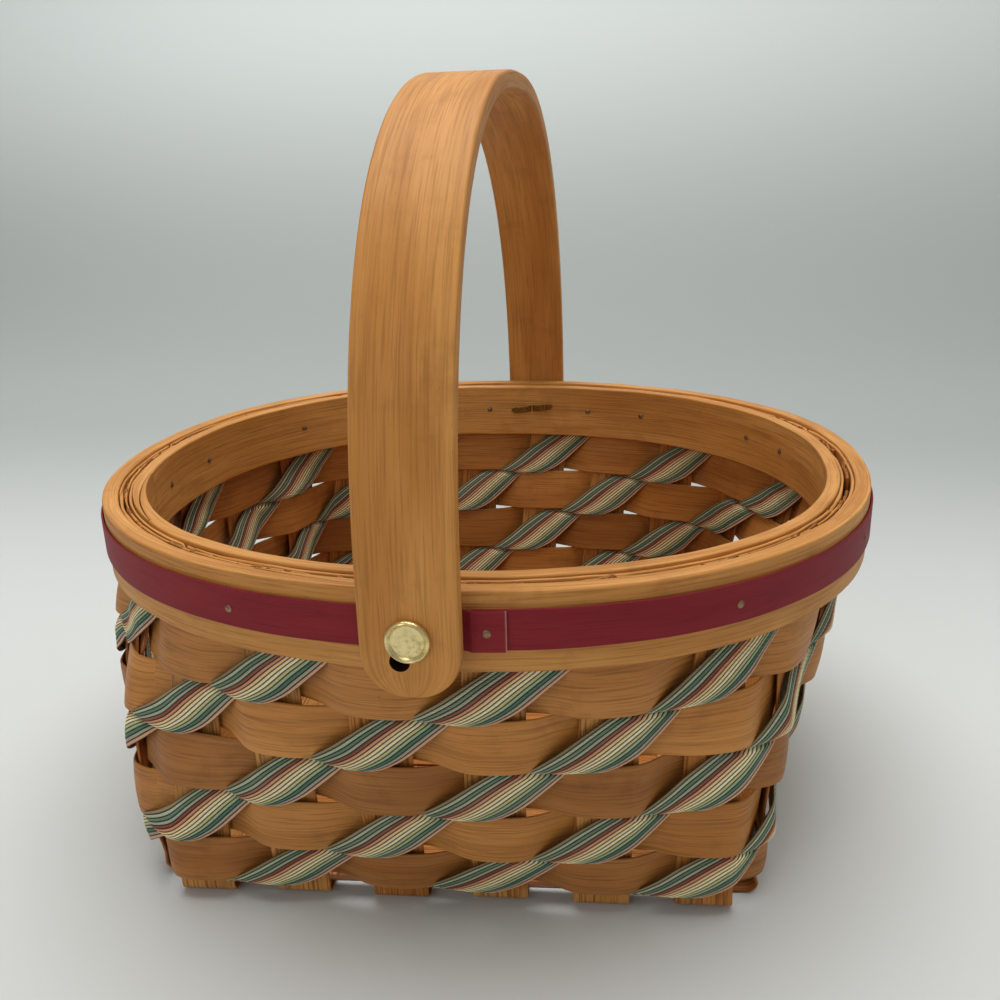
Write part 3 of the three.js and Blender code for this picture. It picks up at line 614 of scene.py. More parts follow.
def wood(name, light, dark, deep, groove=0.4, tone=None, roughness=0.55, fine=2300.0,
         relief=0.00012, figure=0.12, ridge=(0.56, 0.7)):
    """Satin wood with long fine grain, broad soft bands, darker growth lines and smudges."""
    finish = Finish(name)
    fibres = finish.grain(34, fine, detail=3, roughness=0.62)
    strands = finish.grain(11, fine / 4)
    clouds = finish.grain(9, 60, detail=3, roughness=0.55, distortion=0.4)
    bent = finish.across + finish.grain(7, 40, detail=1) * 0.006
    rings = finish.noise(finish.vector(finish.along * 3.2, bent * 330), roughness=0.4)
    colour = finish.blend(finish.band(clouds, 0.32, 0.7), light, dark)
    colour = finish.blend(finish.band(rings, 0.56, 0.66) * figure, colour, deep)
    colour = finish.blend(finish.band(strands, 0.5, 0.72) * 0.24, colour, deep)
    colour = finish.blend(finish.band(fibres, *ridge) * groove, colour, deep)
    smudges = finish.noise(finish.place(), scale=55, detail=4, roughness=0.65)
    colour = finish.blend(finish.band(smudges, 0.52, 0.76) * 0.34, colour, deep)
    flecks = finish.grain(260, 1500)
    colour = finish.blend(finish.band(flecks, 0.7, 0.78) * 0.55, colour, deep)
    if tone:
        colour = finish.blend(finish.attribute("tone"), colour, tone, "MULTIPLY")
    finish.set(Base_Color=colour, Roughness=roughness + (fibres - 0.5) * 0.3,
               Normal=finish.bump(fibres * 0.7 + strands * 0.3, relief), Specular_IOR_Level=0.3)
    return finish.material


def painted_wood():
    """Burgundy paint on a thin strip, with the grain, a little wear and one bare end showing."""
    finish = Finish("burgundy_paint")
    fibres = finish.grain(40, 2600, detail=3, roughness=0.6)
    clouds = finish.grain(14, 90, detail=3)
    rubbed = finish.grain(60, 900, detail=4, roughness=0.7)
    paint = tuple(bpy.context.scene.basket_colours.band) + (1.0,)
    colour = finish.blend(finish.band(clouds, 0.3, 0.72), paint, srgb("#8c2c33"))
    colour = finish.blend(finish.band(fibres, 0.52, 0.72) * 0.45, colour, srgb("#4a0f14"))
    colour = finish.blend(finish.band(rubbed, 0.66, 0.78) * 0.5, colour, srgb("#98504a"))
    colour = finish.blend(finish.attribute("tone") * 0.8, colour, srgb("#c98f84"))
    finish.set(Base_Color=colour, Roughness=0.55 + (clouds - 0.5) * 0.3,
               Normal=finish.bump(fibres, 0.00008), Specular_IOR_Level=0.14)
    return finish.material


# The ribbon's cords from its upper edge, as the eye reads them
CORD_COLOURS = (
    "#93805f", "#b9c6a8", "#6c8672", "#aeb59d", "#8c5040", "#dc9a78", "#f8d3a0",
    "#ffecb8", "#fff6d0", "#d2ca92", "#a9bf9c", "#587a67", "#aca997", "#e0ac8c",
)


def striped_cords():
    """Cords of twisted paper glued side by side, each of its own colour."""
    finish = Finish("striped_cords")
    along, across = finish.along, finish.across
    stops = [(i / RIBBON_CORDS, srgb(code)) for i, code in enumerate(CORD_COLOURS)]
    stripes = finish.node("ShaderNodeValToRGB", {"stops": ("CONSTANT", stops)}, {0: across})
    twist = finish.sine(along * 4200 + across * (RIBBON_CORDS * 3.1))
    cord = finish.sine(across * (RIBBON_CORDS * math.pi))
    fuzz = finish.grain(900, 60, detail=3, roughness=0.6)
    fade = finish.grain(24, 3)
    colour = finish.blend(finish.band(fuzz, 0.35, 0.75) * 0.22, stripes, srgb("#2c2620"))
    colour = finish.blend(finish.band(fade, 0.4, 0.7) * 0.16, colour, srgb("#e0cfae"))
    # Painted shade: the valleys between the cords are darkened almost to black.
    valley_shade = 1 - finish.band(cord * cord, 0.03, 0.5)
    colour = finish.blend(valley_shade * 0.9, colour, srgb("#1c140c"))
    finish.set(Base_Color=colour, Roughness=0.72, Specular_IOR_Level=0.25,
               Normal=finish.bump(twist * 0.5 + fuzz, 0.00012))
    return finish.material


def worn_metal(name, light, dark, roughness):
    """Metal with fine scratches and a patchy tarnish."""
    finish = Finish(name)
    place = finish.place()
    patches = finish.noise(place, scale=700, detail=3, roughness=0.6)
    scratches = finish.noise(place, scale=2600)
    share = finish.band(patches, 0.4, 0.8)
    finish.set(Base_Color=finish.blend(share, light, dark), Metallic=1.0,
               Roughness=share * 0.2 + roughness + (scratches - 0.5) * 0.12,
               Normal=finish.bump(scratches, 0.00003))
    return finish.material


# What a user would change


def length_setting(name, description, default, lowest, highest):
    return bpy.props.FloatProperty(name=name, description=description, default=default,
                                   min=lowest, max=highest, unit="LENGTH")


def colour_setting(name, description, code):
    return bpy.props.FloatVectorProperty(name=name, description=description, default=srgb(code)[:3],
                                         min=0.0, max=1.0, size=3, subtype="COLOR")


class BasketSizes(bpy.types.PropertyGroup):
    """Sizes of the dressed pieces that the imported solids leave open."""

    weaver_flare: length_setting(
        "Weaver flare", "How far a weaver's lower edge stands out over a stake",
        2.2 * MM, 0.0, 5 * MM)
    ribbon_crown: length_setting(
        "Ribbon crown", "How far the middle of a ribbon stands up from its edges",
        1.1 * MM, 0.0, 2 * MM)
    cord_depth: length_setting(
        "Cord depth", "Depth of the valleys between a ribbon's cords", 0.4 * MM, 0.0, 0.6 * MM)
    hoop_edge: length_setting(
        "Hoop edge", "How far the hoops' edges are rounded", 0.6 * MM, 0.2 * MM, 2.4 * MM)
    floor_size: length_setting("Floor size", "Width of the floor and backdrop", 6.0, 1.0, 100.0)


class BasketColours(bpy.types.PropertyGroup):
    """Colours of the finishes, as linear values."""

    band: colour_setting("Band", "Paint of the rim band", "#80202a")
    wood_light: colour_setting("Light wood", "Pale grain of the handle and hoops", "#d89c54")
    wood_dark: colour_setting("Dark wood", "Deeper grain of the handle and hoops", "#c0813a")
    floor: colour_setting("Floor", "Colour of the floor and backdrop", "#d3d6d5")


# Pieces


def weave(stake):
    """From 1 over a stake of the row's own set to -1 behind the next."""
    return math.tanh(WEAVER_SQUARENESS * math.cos(stake * math.pi)) / math.tanh(WEAVER_SQUARENESS)


class BasketStakes(bpy.types.Operator):
    """Twelve flat stakes, woven as the base and turned up as the wall"""

    bl_idname = "basket.make_stakes"
    bl_label = "Stakes"
    wall_steps = 30
    fold_steps = 8

    def end_stations(self, stake, level):
        """A wall end from the rim down to the flat of the base: point, facing and way across."""
        stations = []
        for i in range(self.wall_steps):
            z = lerp(RIM_HEIGHT - STAKE_TOP_DROP, FOLD_RADIUS, i / self.wall_steps)
            point, facing, _ = stake_frame(stake, z)
            stations.append((raised(point, z), facing.to_3d()))
        foot, _, way, _, _ = stake_foot(stake)
        for i in range(self.fold_steps):
            angle = i / self.fold_steps * math.pi / 2
            inset = FOLD_RADIUS * (1 - math.cos(angle))
            z = FOLD_RADIUS - (FOLD_RADIUS - level) * math.sin(angle)
            facing = raised(way * math.cos(angle), -math.sin(angle))
            stations.append((raised(foot - way * inset, z), facing))
        return stations

    def base_stations(self, stake, starts_under):
        """The way across the base, over and under the stakes of the other set."""
        foot, _, way, _, _ = stake_foot(stake)
        half = STAKE_WIDTH / 2 + CROSSING_EASE
        stations = []
        first = BASE_HALF - STAKES_PER_SIDE * STAKE_PITCH / 2 + STAKE_PITCH / 2
        for i in range(STAKES_PER_SIDE):
            level = UNDER_LEVEL if (i % 2 == 0) == starts_under else OVER_LEVEL
            other = UNDER_LEVEL + OVER_LEVEL - level
            middle = first + i * STAKE_PITCH
            for side in (-half, 0, half):
                stations.append((middle + side, level))
            if i < STAKES_PER_SIDE - 1:
                for share in (0.25, 0.5, 0.75):
                    stations.append((middle + half + share * (STAKE_PITCH - 2 * half),
                                     lerp(level, other, smooth(share))))
        down = Vector((0, 0, -1))
        return [(raised(foot - way * distance, z), down) for distance, z in stations]

    def splint(self):
        """A thin splint laid round the inside of the stakes' turn, on the stakes that lie higher."""
        rings = []
        for i in range(STAKE_ENDS * 4):
            before, share = divmod(i / 4, 1)
            ends = [stake_foot(before + 0.5 + step) for step in (0, 1)]
            outside, inside = [], []
            for degrees in SPLINT_TURN:
                angle = math.radians(degrees)
                for places, stand in zip((outside, inside), SPLINT_FACES):
                    inset = BEND_RADIUS * (1 - math.cos(angle)) - stand * math.cos(angle)
                    z = BEND_RADIUS - (BEND_RADIUS - OVER_LEVEL) * math.sin(angle)
                    z -= stand * math.sin(angle)
                    near, far = (foot - way * inset for foot, _, way, _, _ in ends)
                    places.append(raised(near.lerp(far, share), z))
            rings.append(outside + inside[::-1])
        return sweep("base_splint", rings, loop=True)

    def fray(self, across, seed, end):
        return 0.9 * wander(9 * across, seed + end) + 0.5 * scatter(round(across * 12), seed, end)

    def stake(self, name, start, finish, seed):
        starts_under = start % 2 == 0.5
        levels = (UNDER_LEVEL, OVER_LEVEL) if starts_under else (OVER_LEVEL, UNDER_LEVEL)
        stations = (self.end_stations(start, levels[0]) + self.base_stations(start, starts_under)
                    + self.end_stations(finish, levels[1])[::-1])
        profile = slab_profile(12, STAKE_EDGE)
        rings = []
        for i, (point, facing) in enumerate(stations):
            before, after = beside(stations, i)
            half = (after[0] - before[0]).cross(facing).normalized() * (STAKE_WIDTH / 2)
            ring = strip_ring(point - half, point + half, facing, STAKE_THICKNESS, profile)
            if i in (0, len(stations) - 1):
                ring = [place + Vector((0, 0, self.fray(across, seed, i)))
                        for place, (across, _) in zip(ring, profile)]
            rings.append(ring)
        return sweep(name, rings, offset=0.83 * seed, tone=lambda share: 0.5 + 0.5 * scatter(seed, 5))

    def execute(self, context):
        material = wood("stake_wood", srgb("#d99d56"), srgb("#c08440"), srgb("#6b3f18"), groove=0.72,
                        fine=1150.0, relief=0.0007, roughness=0.6, tone=srgb("#e8cba8"), figure=0.2,
                        ridge=(0.46, 0.64))
        for i in range(STAKES_PER_SIDE):
            middle = i + 0.5
            for kind, start, finish in (
                ("front_to_back", middle, 3 * STAKES_PER_SIDE - middle),
                ("side_to_side", STAKES_PER_SIDE + middle, STAKE_ENDS - middle),
            ):
                node = f"stake_{kind}_{i + 1}"
                piece = self.stake("woven_" + node, start, finish, i + (7 if kind[0] == "s" else 1))
                stand_for(piece, "basket", "stake_wood", material, node)
        shaded = wood("splint_wood", srgb("#7e5034"), srgb("#6a4028"), srgb("#3a1e10"))
        stand_for(self.splint(), "basket", "stake_wood", shaded)
        return {"FINISHED"}


# How dark each row is, from the top: the third row's wood is darker of its own, and the bottom row is
# darkened as painted shade
ROW_TONES_AND_SHADE = (0.3, 0.05, 0.8, 0.2, 0.75)
# The shape of a bow: its belly and its drawn-in foot
WEAVER_BELLY, WEAVER_FOOT = 1.9, 0.5
# The middle and the reach of the looser weave on the left, in stakes, and how much looser it is
LOOSE_LEFT, LOOSENESS = (21.5, 3.5), 0.35


class BasketWeavers(bpy.types.Operator):
    """Five flat weavers, each a ring that bows out over every second stake"""

    bl_idname = "basket.make_weavers"
    bl_label = "Weavers"
    steps = 14
    ease = 0.1

    def weaver(self, row):
        flare = bpy.context.scene.basket_sizes.weaver_flare / MM
        middle, half = row_middle(row), (row_height(row) - PIECE_GAP) / 2
        phase = 0.5 if row % 2 == 0 else 1.5
        profile = slab_profile(8, WEAVER_EDGE)
        rings = []
        for i in range(STAKE_ENDS * self.steps):
            stake = i / self.steps
            over = weave(stake - phase)
            looser = 0.08 * wander(stake, row + 3) + LOOSENESS * nearness(stake, *LOOSE_LEFT)
            lift = WEAVER_SWING * (1 + looser) * over
            stand = clamp(over)
            rise = 0.3 * wander(stake * 0.9, 1) + 0.12 * wander(stake * 1.3, row)
            foot = middle - half + rise - 0.5 * stand
            upper, facing = wall_point(stake, middle + half + rise, lift, self.ease)
            lower, _ = wall_point(stake, foot, lift + flare * stand ** 2, self.ease)

            def bulge(across, stand=stand):
                return stand * (WEAVER_BELLY * across * (1 - across) - WEAVER_FOOT * across ** 4)

            rings.append(strip_ring(upper, lower, facing, WEAVER_THICKNESS, profile, bulge))
        return sweep(f"woven_weaver_row_{row + 1}", rings, loop=True, offset=1.7 * row,
                     tone=lambda share: clamp(ROW_TONES_AND_SHADE[row] + 0.12 * wander(share * 40, row)))

    def execute(self, context):
        material = wood("weaver_wood", srgb("#d29049"), srgb("#bf7d38"), srgb("#6f4018"), groove=0.42,
                        fine=1300.0, relief=0.0002, roughness=0.5, tone=srgb("#c9c0bb"), figure=0.05,
                        ridge=(0.46, 0.66))
        for row in range(WEAVER_ROWS):
            stand_for(self.weaver(row), "basket", "weaver_wood", material, f"weaver_row_{row + 1}")
        return {"FINISHED"}


# A ribbon's way through one window of the weave, from the slot above it to the fold over the
# slot below: its middle and half width in stakes, its height as a share of the row, the lifts of
# its upper and lower edges, and how much lower the lower edge lies
RIBBON_WAY = (
    (0.40, 0.96, 0.30, 1.0, 1.5, 0.3),
    (0.29, 0.87, 0.32, 1.5, 2.6, 0.8),
    (0.09, 0.58, 0.35, 2.6, 3.2, 1.4),
    (-0.11, 0.27, 0.36, 3.0, 4.0, 1.4),
    (-0.28, 0.07, 0.35, 3.0, 4.6, 1.0),
    (-0.39, -0.02, 0.32, 2.5, 4.3, 0.6),
    (-0.46, -0.045, 0.28, 1.7, 2.4, 0.3),
)
# It starts between the hoops and ends under the turn of the stakes
RIBBON_START = ((0.58, 1.36, 0.29, 1.3, 1.3, 0.3), (0.44, 1.12, 0.30, 1.3, 1.5, 0.4))
RIBBON_END = ((-0.60, -0.16, 0.24, 0.8, 0.9, 0.0),)


def catmull(before, here, after, beyond, t):
    """A point on the smooth curve through four, given as plain lists."""
    return [
        0.5 * (2 * b + (c - a) * t + (2 * a - 5 * b + 4 * c - d) * t * t
               + (3 * b - a - 3 * c + d) * t ** 3)
        for a, b, c, d in zip(before, here, after, beyond)
    ]


class BasketRibbons(bpy.types.Operator):
    """Striped ribbons that climb through the windows of the weave, inside and outside"""

    bl_idname = "basket.make_ribbons"
    bl_label = "Ribbons"
    steps = 4
    columns = 4
    ease = 0.04
    flat_lift = 1.35

    def way(self):
        """Stations down the whole ribbon, with the middle in stakes and the height in mm."""
        keys = []
        for row in range(WEAVER_ROWS):
            entries = RIBBON_START + RIBBON_WAY[1:] if row == 0 else RIBBON_WAY
            if row == WEAVER_ROWS - 1:
                entries += RIBBON_END
            for middle, height, *rest in entries:
                keys.append((middle - row, row_floor(row) + height * row_height(row), *rest))
        keys = [keys[0], *keys, keys[-1]]
        stations = []
        for i in range(1, len(keys) - 2):
            stations += [catmull(*keys[i - 1:i + 3], step / self.steps) for step in range(self.steps)]
        return stations + [list(keys[-1])]

    def ribbon(self, name, first_stake, hand, seed):
        sizes = bpy.context.scene.basket_sizes
        crown, depth_of_cord = sizes.ribbon_crown / MM, sizes.cord_depth / MM
        middles, facings = [], []
        for middle, height, half, upper, lower, tilt in self.way():
            row = []
            for j in range(RIBBON_CORDS + 1):
                across = j / RIBBON_CORDS
                stake = first_stake + hand * (middle + half * (2 * across - 1))
                z = height + tilt * (0.5 - across) + 0.25 * wander(stake * 1.3, seed)
                arch = 4 * crown * across * (1 - across) if upper > self.flat_lift else 0
                lift = lerp(upper, lower, across) + arch
                row.append(wall_point(stake, max(z, RIBBON_LOWEST), hand * lift, self.ease))
            middles.append([point for point, _ in row])
            facings.append([facing * hand for _, facing in row])
        rings = []
        count = RIBBON_CORDS * self.columns
        for i, row in enumerate(middles):
            above, below = beside(middles, i)
            normals = []
            for j in range(RIBBON_CORDS + 1):
                left, right = beside(row, j)
                normal = (below[j] - above[j]).cross(right - left).normalized() * hand
                if normal.dot(facings[i][j]) < -0.2:
                    normal = facings[i][j]
                normals.append(normal)
            ring = []
            for k in range(count + 1):
                j, part = divmod(k, self.columns)
                cord = abs(math.sin(k / self.columns * math.pi))
                stand = RIBBON_THICKNESS / 2 + depth_of_cord * (cord - 1)
                after = min(j + 1, RIBBON_CORDS)
                ring.append(row[j].lerp(row[after], part / self.columns)
                            + normals[j].lerp(normals[after], part / self.columns) * stand)
            ring += [row[j] - normals[j] * (RIBBON_THICKNESS / 2) for j in range(RIBBON_CORDS, -1, -1)]
            rings.append(ring)
        across = [i / count for i in range(count + 1)]
        across += [1 - i / RIBBON_CORDS for i in range(RIBBON_CORDS + 1)] + [0.0]
        return sweep(name, rings, across=across, offset=0.31 * seed, sharp=60)

    def execute(self, context):
        material = striped_cords()
        for i in range(STAKE_ENDS // 2):
            for kind, first, hand in (("outer", 2 * i + 1.5, 1), ("inner", 2 * i + 0.5, -1)):
                node = f"ribbon_{kind}_{i + 1:02d}"
                piece = self.ribbon("corded_" + node, first, hand, i + (0.5 if hand < 0 else 0))
                stand_for(piece, "basket", "striped_paper", material, node)
        return {"FINISHED"}


# Strips packed between the hoops: their ends as shares of the rim, their place and thickness
# across it, and how far below the hoops' tops they lie
RIM_FILLERS = (
    (0.02, 0.31, 1.75, 1.1, 0.5), (0.29, 0.56, 1.6, 1.2, 0.9), (0.55, 0.83, 1.75, 1.0, 0.6),
    (0.81, 1.04, 1.6, 1.2, 0.8), (0.09, 0.42, -1.7, 1.1, 0.7), (0.40, 0.70, -1.6, 1.2, 0.5),
    (0.68, 0.93, -1.75, 1.0, 0.9), (0.90, 1.12, -1.6, 1.2, 0.6), (0.05, 0.20, 0.0, 0.8, 0.9),
    (0.27, 0.47, 0.1, 0.8, 1.2), (0.52, 0.66, 0.0, 0.9, 1.0), (0.72, 0.97, -0.1, 0.8, 0.8),
)
FILLER_HEIGHT = 7.5
FILLER_STEP = 1.5


def bentwood_colours(context):
    colours = context.scene.basket_colours
    return tuple(colours.wood_light) + (1.0,), tuple(colours.wood_dark) + (1.0,)


class BasketRim(bpy.types.Operator):
    """Two bent hoops that grip the stakes' ends, and the painted band round the outer one"""

    bl_idname = "basket.make_rim"
    bl_label = "Rim"
    stations = 300

    def bent(self, name, start, lap, inside, face, bottom, top, edge, depth, seed, ramps=(), tone=None):
        """A strip bent once round the rim, its ends lapped, between faces given by distance."""
        finish = start + RIM.length
        marks = {start, start + lap, finish, finish + lap, *ramps}
        step = RIM.length / self.stations
        marks.update(start + i * step for i in range(1, int((finish + lap - start) / step)))
        places = sorted(marks)
        places = [place for i, place in enumerate(places) if i == 0 or place - places[i - 1] > 0.2]
        profile = slab_profile(6, edge / (top - bottom), depth)
        rings = []
        for distance in places:
            out = RIM.out(distance).to_3d()
            low, high = inside(distance), face(distance)
            middle = RIM.at(distance).to_3d() + out * ((low + high) / 2)
            rise = 0.18 * wander(distance / 22, seed)
            rings.append(strip_ring(raised(middle, top + rise), raised(middle, bottom + rise),
                                    out, high - low, profile))
        return sweep(name, rings, offset=2.1 * seed, tone=tone, sharp=50)

    def hoop(self, name, start, inside, thickness, seed):
        finish = start + RIM.length
        slant = thickness - 2 * HOOP_FEATHER - PIECE_GAP

        def face(distance):
            if distance > start + HOOP_LAP:
                return inside + thickness
            return inside + HOOP_FEATHER + slant * (distance - start) / HOOP_LAP

        def back(distance):
            if distance < finish:
                return inside
            return inside + HOOP_FEATHER + PIECE_GAP + slant * (distance - finish) / HOOP_LAP

        edge = bpy.context.scene.basket_sizes.hoop_edge / MM
        ramps = (start + HOOP_LAP + HOOP_FEATHER, finish - HOOP_FEATHER)
        return self.bent(name, start, HOOP_LAP, back, face, HOOP_BOTTOM, RIM_HEIGHT,
                         edge, 2 * edge / thickness, seed, ramps)

    def band(self):
        finish = BAND_LAP_START + RIM.length
        rise = BAND_THICKNESS + PIECE_GAP

        def inside(distance):
            return BAND_INSIDE + rise * smooth((distance - finish + 2 * rise) / (2 * rise))

        def face(distance):
            return inside(distance) + BAND_THICKNESS

        top = RIM_HEIGHT - BAND_DROP
        ramps = [finish - share * 2 * rise for share in (0.25, 0.5, 0.75, 1)]
        ramps.append(finish + BAND_LAP - BAND_BARE_END)
        return self.bent("painted_rim_band", BAND_LAP_START, BAND_LAP, inside, face,
                         top - BAND_WIDTH, top, BAND_EDGE, BAND_ROUNDING, 5, ramps,
                         lambda share: float(share == 1))

    def filler(self, name, start, finish, offset, thickness, drop, seed):
        """A thin strip packed between a hoop and the stakes' ends, its top edge split in places."""
        count = int((finish - start) / FILLER_STEP)
        profile = slab_profile(2, 0.06)
        rings = []
        for i in range(count + 1):
            distance = lerp(start, finish, i / count)
            out = RIM.out(distance).to_3d()
            end = min(i, count - i) * FILLER_STEP
            thick = thickness * (0.25 + 0.75 * smooth(end / 14))
            thick *= 1 + 0.25 * wander(distance / 9, seed)
            middle = RIM.at(distance).to_3d() + out * (offset + 0.22 * wander(distance / 16, seed + 2))
            chip = 1.6 * smooth((wander(distance / 4.3, seed + 4) - 0.8) / 0.05)
            top = RIM_HEIGHT - drop - 0.3 + 0.3 * wander(distance / 12, seed + 1) - chip
            top -= 1.5 * (1 - smooth(end / 8))
            rings.append(strip_ring(raised(middle, top), raised(middle, top - FILLER_HEIGHT),
                                    out, thick, profile))
        return sweep(name, rings, offset=0.7 * seed, sharp=50)

    def execute(self, context):
        material = wood("hoop_wood", *bentwood_colours(context), srgb("#8a5424"), groove=0.45,
                        fine=1300.0, relief=0.0003, figure=0.14, ridge=(0.46, 0.66))
        for i, (begin, end, offset, thickness, drop) in enumerate(RIM_FILLERS):
            piece = self.filler(f"rim_filler_{i + 1:02d}", begin * RIM.length, end * RIM.length,
                                offset, thickness, drop, i + 1)
            stand_for(piece, "basket", "hoop_wood", material)
        for seed, (node, start, inside, thickness) in enumerate((
            ("outer_hoop", OUTER_LAP_START, OUTER_HOOP_INSIDE, OUTER_HOOP_THICKNESS),
            ("inner_hoop", INNER_LAP_START, INNER_HOOP_FACE, INNER_HOOP_THICKNESS),
        ), 1):
            piece = self.hoop("bent_" + node, start, inside, thickness, seed)
            stand_for(piece, "basket", "hoop_wood", material, node)
        stand_for(self.band(), "basket", "burgundy_paint", painted_wood(), "painted_band")
        return {"FINISHED"}


class BasketHandle(bpy.types.Operator):
    """The bentwood handle, with an unused hole below its front pivot"""

    bl_idname = "basket.make_handle"
    bl_label = "Handle"
    steps = 110
    tip_steps = 12

    def arch(self, angle):
        along = math.cos(angle)
        power = HANDLE_FRONT_POWER if along > 0 else HANDLE_BACK_POWER
        return Vector((-HANDLE_HALF_SPAN * math.copysign(abs(along) ** (2 / power), along),
                       HANDLE_RISE * abs(math.sin(angle)) ** (2 / power)))

    def stations(self):
        """Points in the plane of Y and Z from the front tip over the arch to the back tip."""
        tip = []
        for i in range(self.tip_steps + 1):
            distance = HANDLE_TIP_RADIUS * (1 - math.cos(i / self.tip_steps * math.pi / 2))
            short = max(HANDLE_TIP_RADIUS - distance, 0)
            wide = HANDLE_WIDTH / 2 - HANDLE_TIP_RADIUS + math.sqrt(HANDLE_TIP_RADIUS ** 2 - short ** 2)
            tip.append((distance - HANDLE_TAIL, wide))
        front = [(Vector((-HANDLE_HALF_SPAN, height)), wide) for height, wide in tip]
        back = [(Vector((HANDLE_HALF_SPAN, height)), wide) for height, wide in reversed(tip)]
        over = [(self.arch(i / self.steps * math.pi), HANDLE_WIDTH / 2) for i in range(self.steps + 1)]
        return front + over + back

    def execute(self, context):
        stations = self.stations()
        profile = slab_profile(10, HANDLE_EDGE, HANDLE_ROUNDING)
        rings = []
        for i, (here, wide) in enumerate(stations):
            before, after = beside(stations, i)
            run = after[0] - before[0]
            out = Vector((0, -run.y, run.x)).normalized()
            middle = Vector((HANDLE_X, here.x, PIVOT_HEIGHT + here.y))
            side = Vector((wide, 0, 0))
            rings.append(strip_ring(middle - side, middle + side, out, HANDLE_THICKNESS, profile))
        piece = sweep("bentwood_handle", rings, offset=9.3, tone=lambda share: 1.0, sharp=50)
        material = wood("handle_wood", *bentwood_colours(context), srgb("#94602c"), groove=0.42,
                        fine=1300.0, figure=0.08, ridge=(0.45, 0.66), tone=srgb("#fbf5ec"))
        stand_for(piece, "swing_handle", "handle_wood", material, "handle")
        self.drill(piece)
        return {"FINISHED"}

    def drill(self, piece):
        """Cuts the spare hole through the front leg, narrowing inwards as a hand-bored one does."""
        x, z = SPARE_HOLE
        bm = bmesh.new()
        turn = Matrix.Rotation(math.pi / 2, 4, "X")
        place = Matrix.Translation(Vector((HANDLE_X + x, -HANDLE_HALF_SPAN, PIVOT_HEIGHT + z)) * MM)
        narrow, wide = (radius * MM for radius in SPARE_HOLE_RADII)
        bmesh.ops.create_cone(bm, cap_ends=True, segments=40, radius1=narrow, radius2=wide,
                              depth=2 * HANDLE_THICKNESS * MM, matrix=place @ turn)
        cutter = settle("spare_hole_cutter", bm)
        # Painted shade: the cutter's near-black wood passes to the hole's walls, so the bore reads
        # dark.
        bore_shade = wood("bore_painted_shade", srgb("#2a160c"), srgb("#180a05"), srgb("#080302"))
        cutter.data.materials.append(bore_shade)
        cut = piece.modifiers.new("spare_hole", "BOOLEAN")
        cut.operation, cut.object = "DIFFERENCE", cutter
        cut.solver, cut.material_mode = "EXACT", "TRANSFER"
        graph = bpy.context.evaluated_depsgraph_get()
        shaped = bpy.data.meshes.new_from_object(piece.evaluated_get(graph))
        piece.modifiers.clear()
        piece.data = shaped
        bpy.data.objects.remove(cutter)


def lathe(bm, profile, origin, axis, steps=40):
    """Spins a profile of (radius, distance along the axis) pairs, in millimetres.

    A spin leaves each pole as a bunch of points and its faces in no fixed order, so the points
    are merged and the faces are sorted by their points."""
    side = axis.orthogonal().normalized()
    verts = [bm.verts.new((origin + axis * along + side * radius) * MM) for radius, along in profile]
    edges = [bm.edges.new(pair) for pair in zip(verts, verts[1:])]
    bmesh.ops.spin(bm, geom=verts + edges, cent=origin * MM, axis=axis, angle=2 * math.pi,
                   steps=steps, use_merge=True)
    bmesh.ops.remove_doubles(bm, verts=bm.verts, dist=1e-6)
    bm.verts.index_update()
    count = len(bm.verts)

    def rank(face):
        corners = sorted(vert.index for vert in face.verts)
        return sum(index * count ** place for place, index in enumerate(corners))

    bm.faces.sort(key=rank)


def finished_turning(name, bm, sharp=40):
    bmesh.ops.recalc_face_normals(bm, faces=bm.faces)
    for face in bm.faces:
        face.smooth = True
    sharpen(bm, sharp)
    return settle(name, bm)


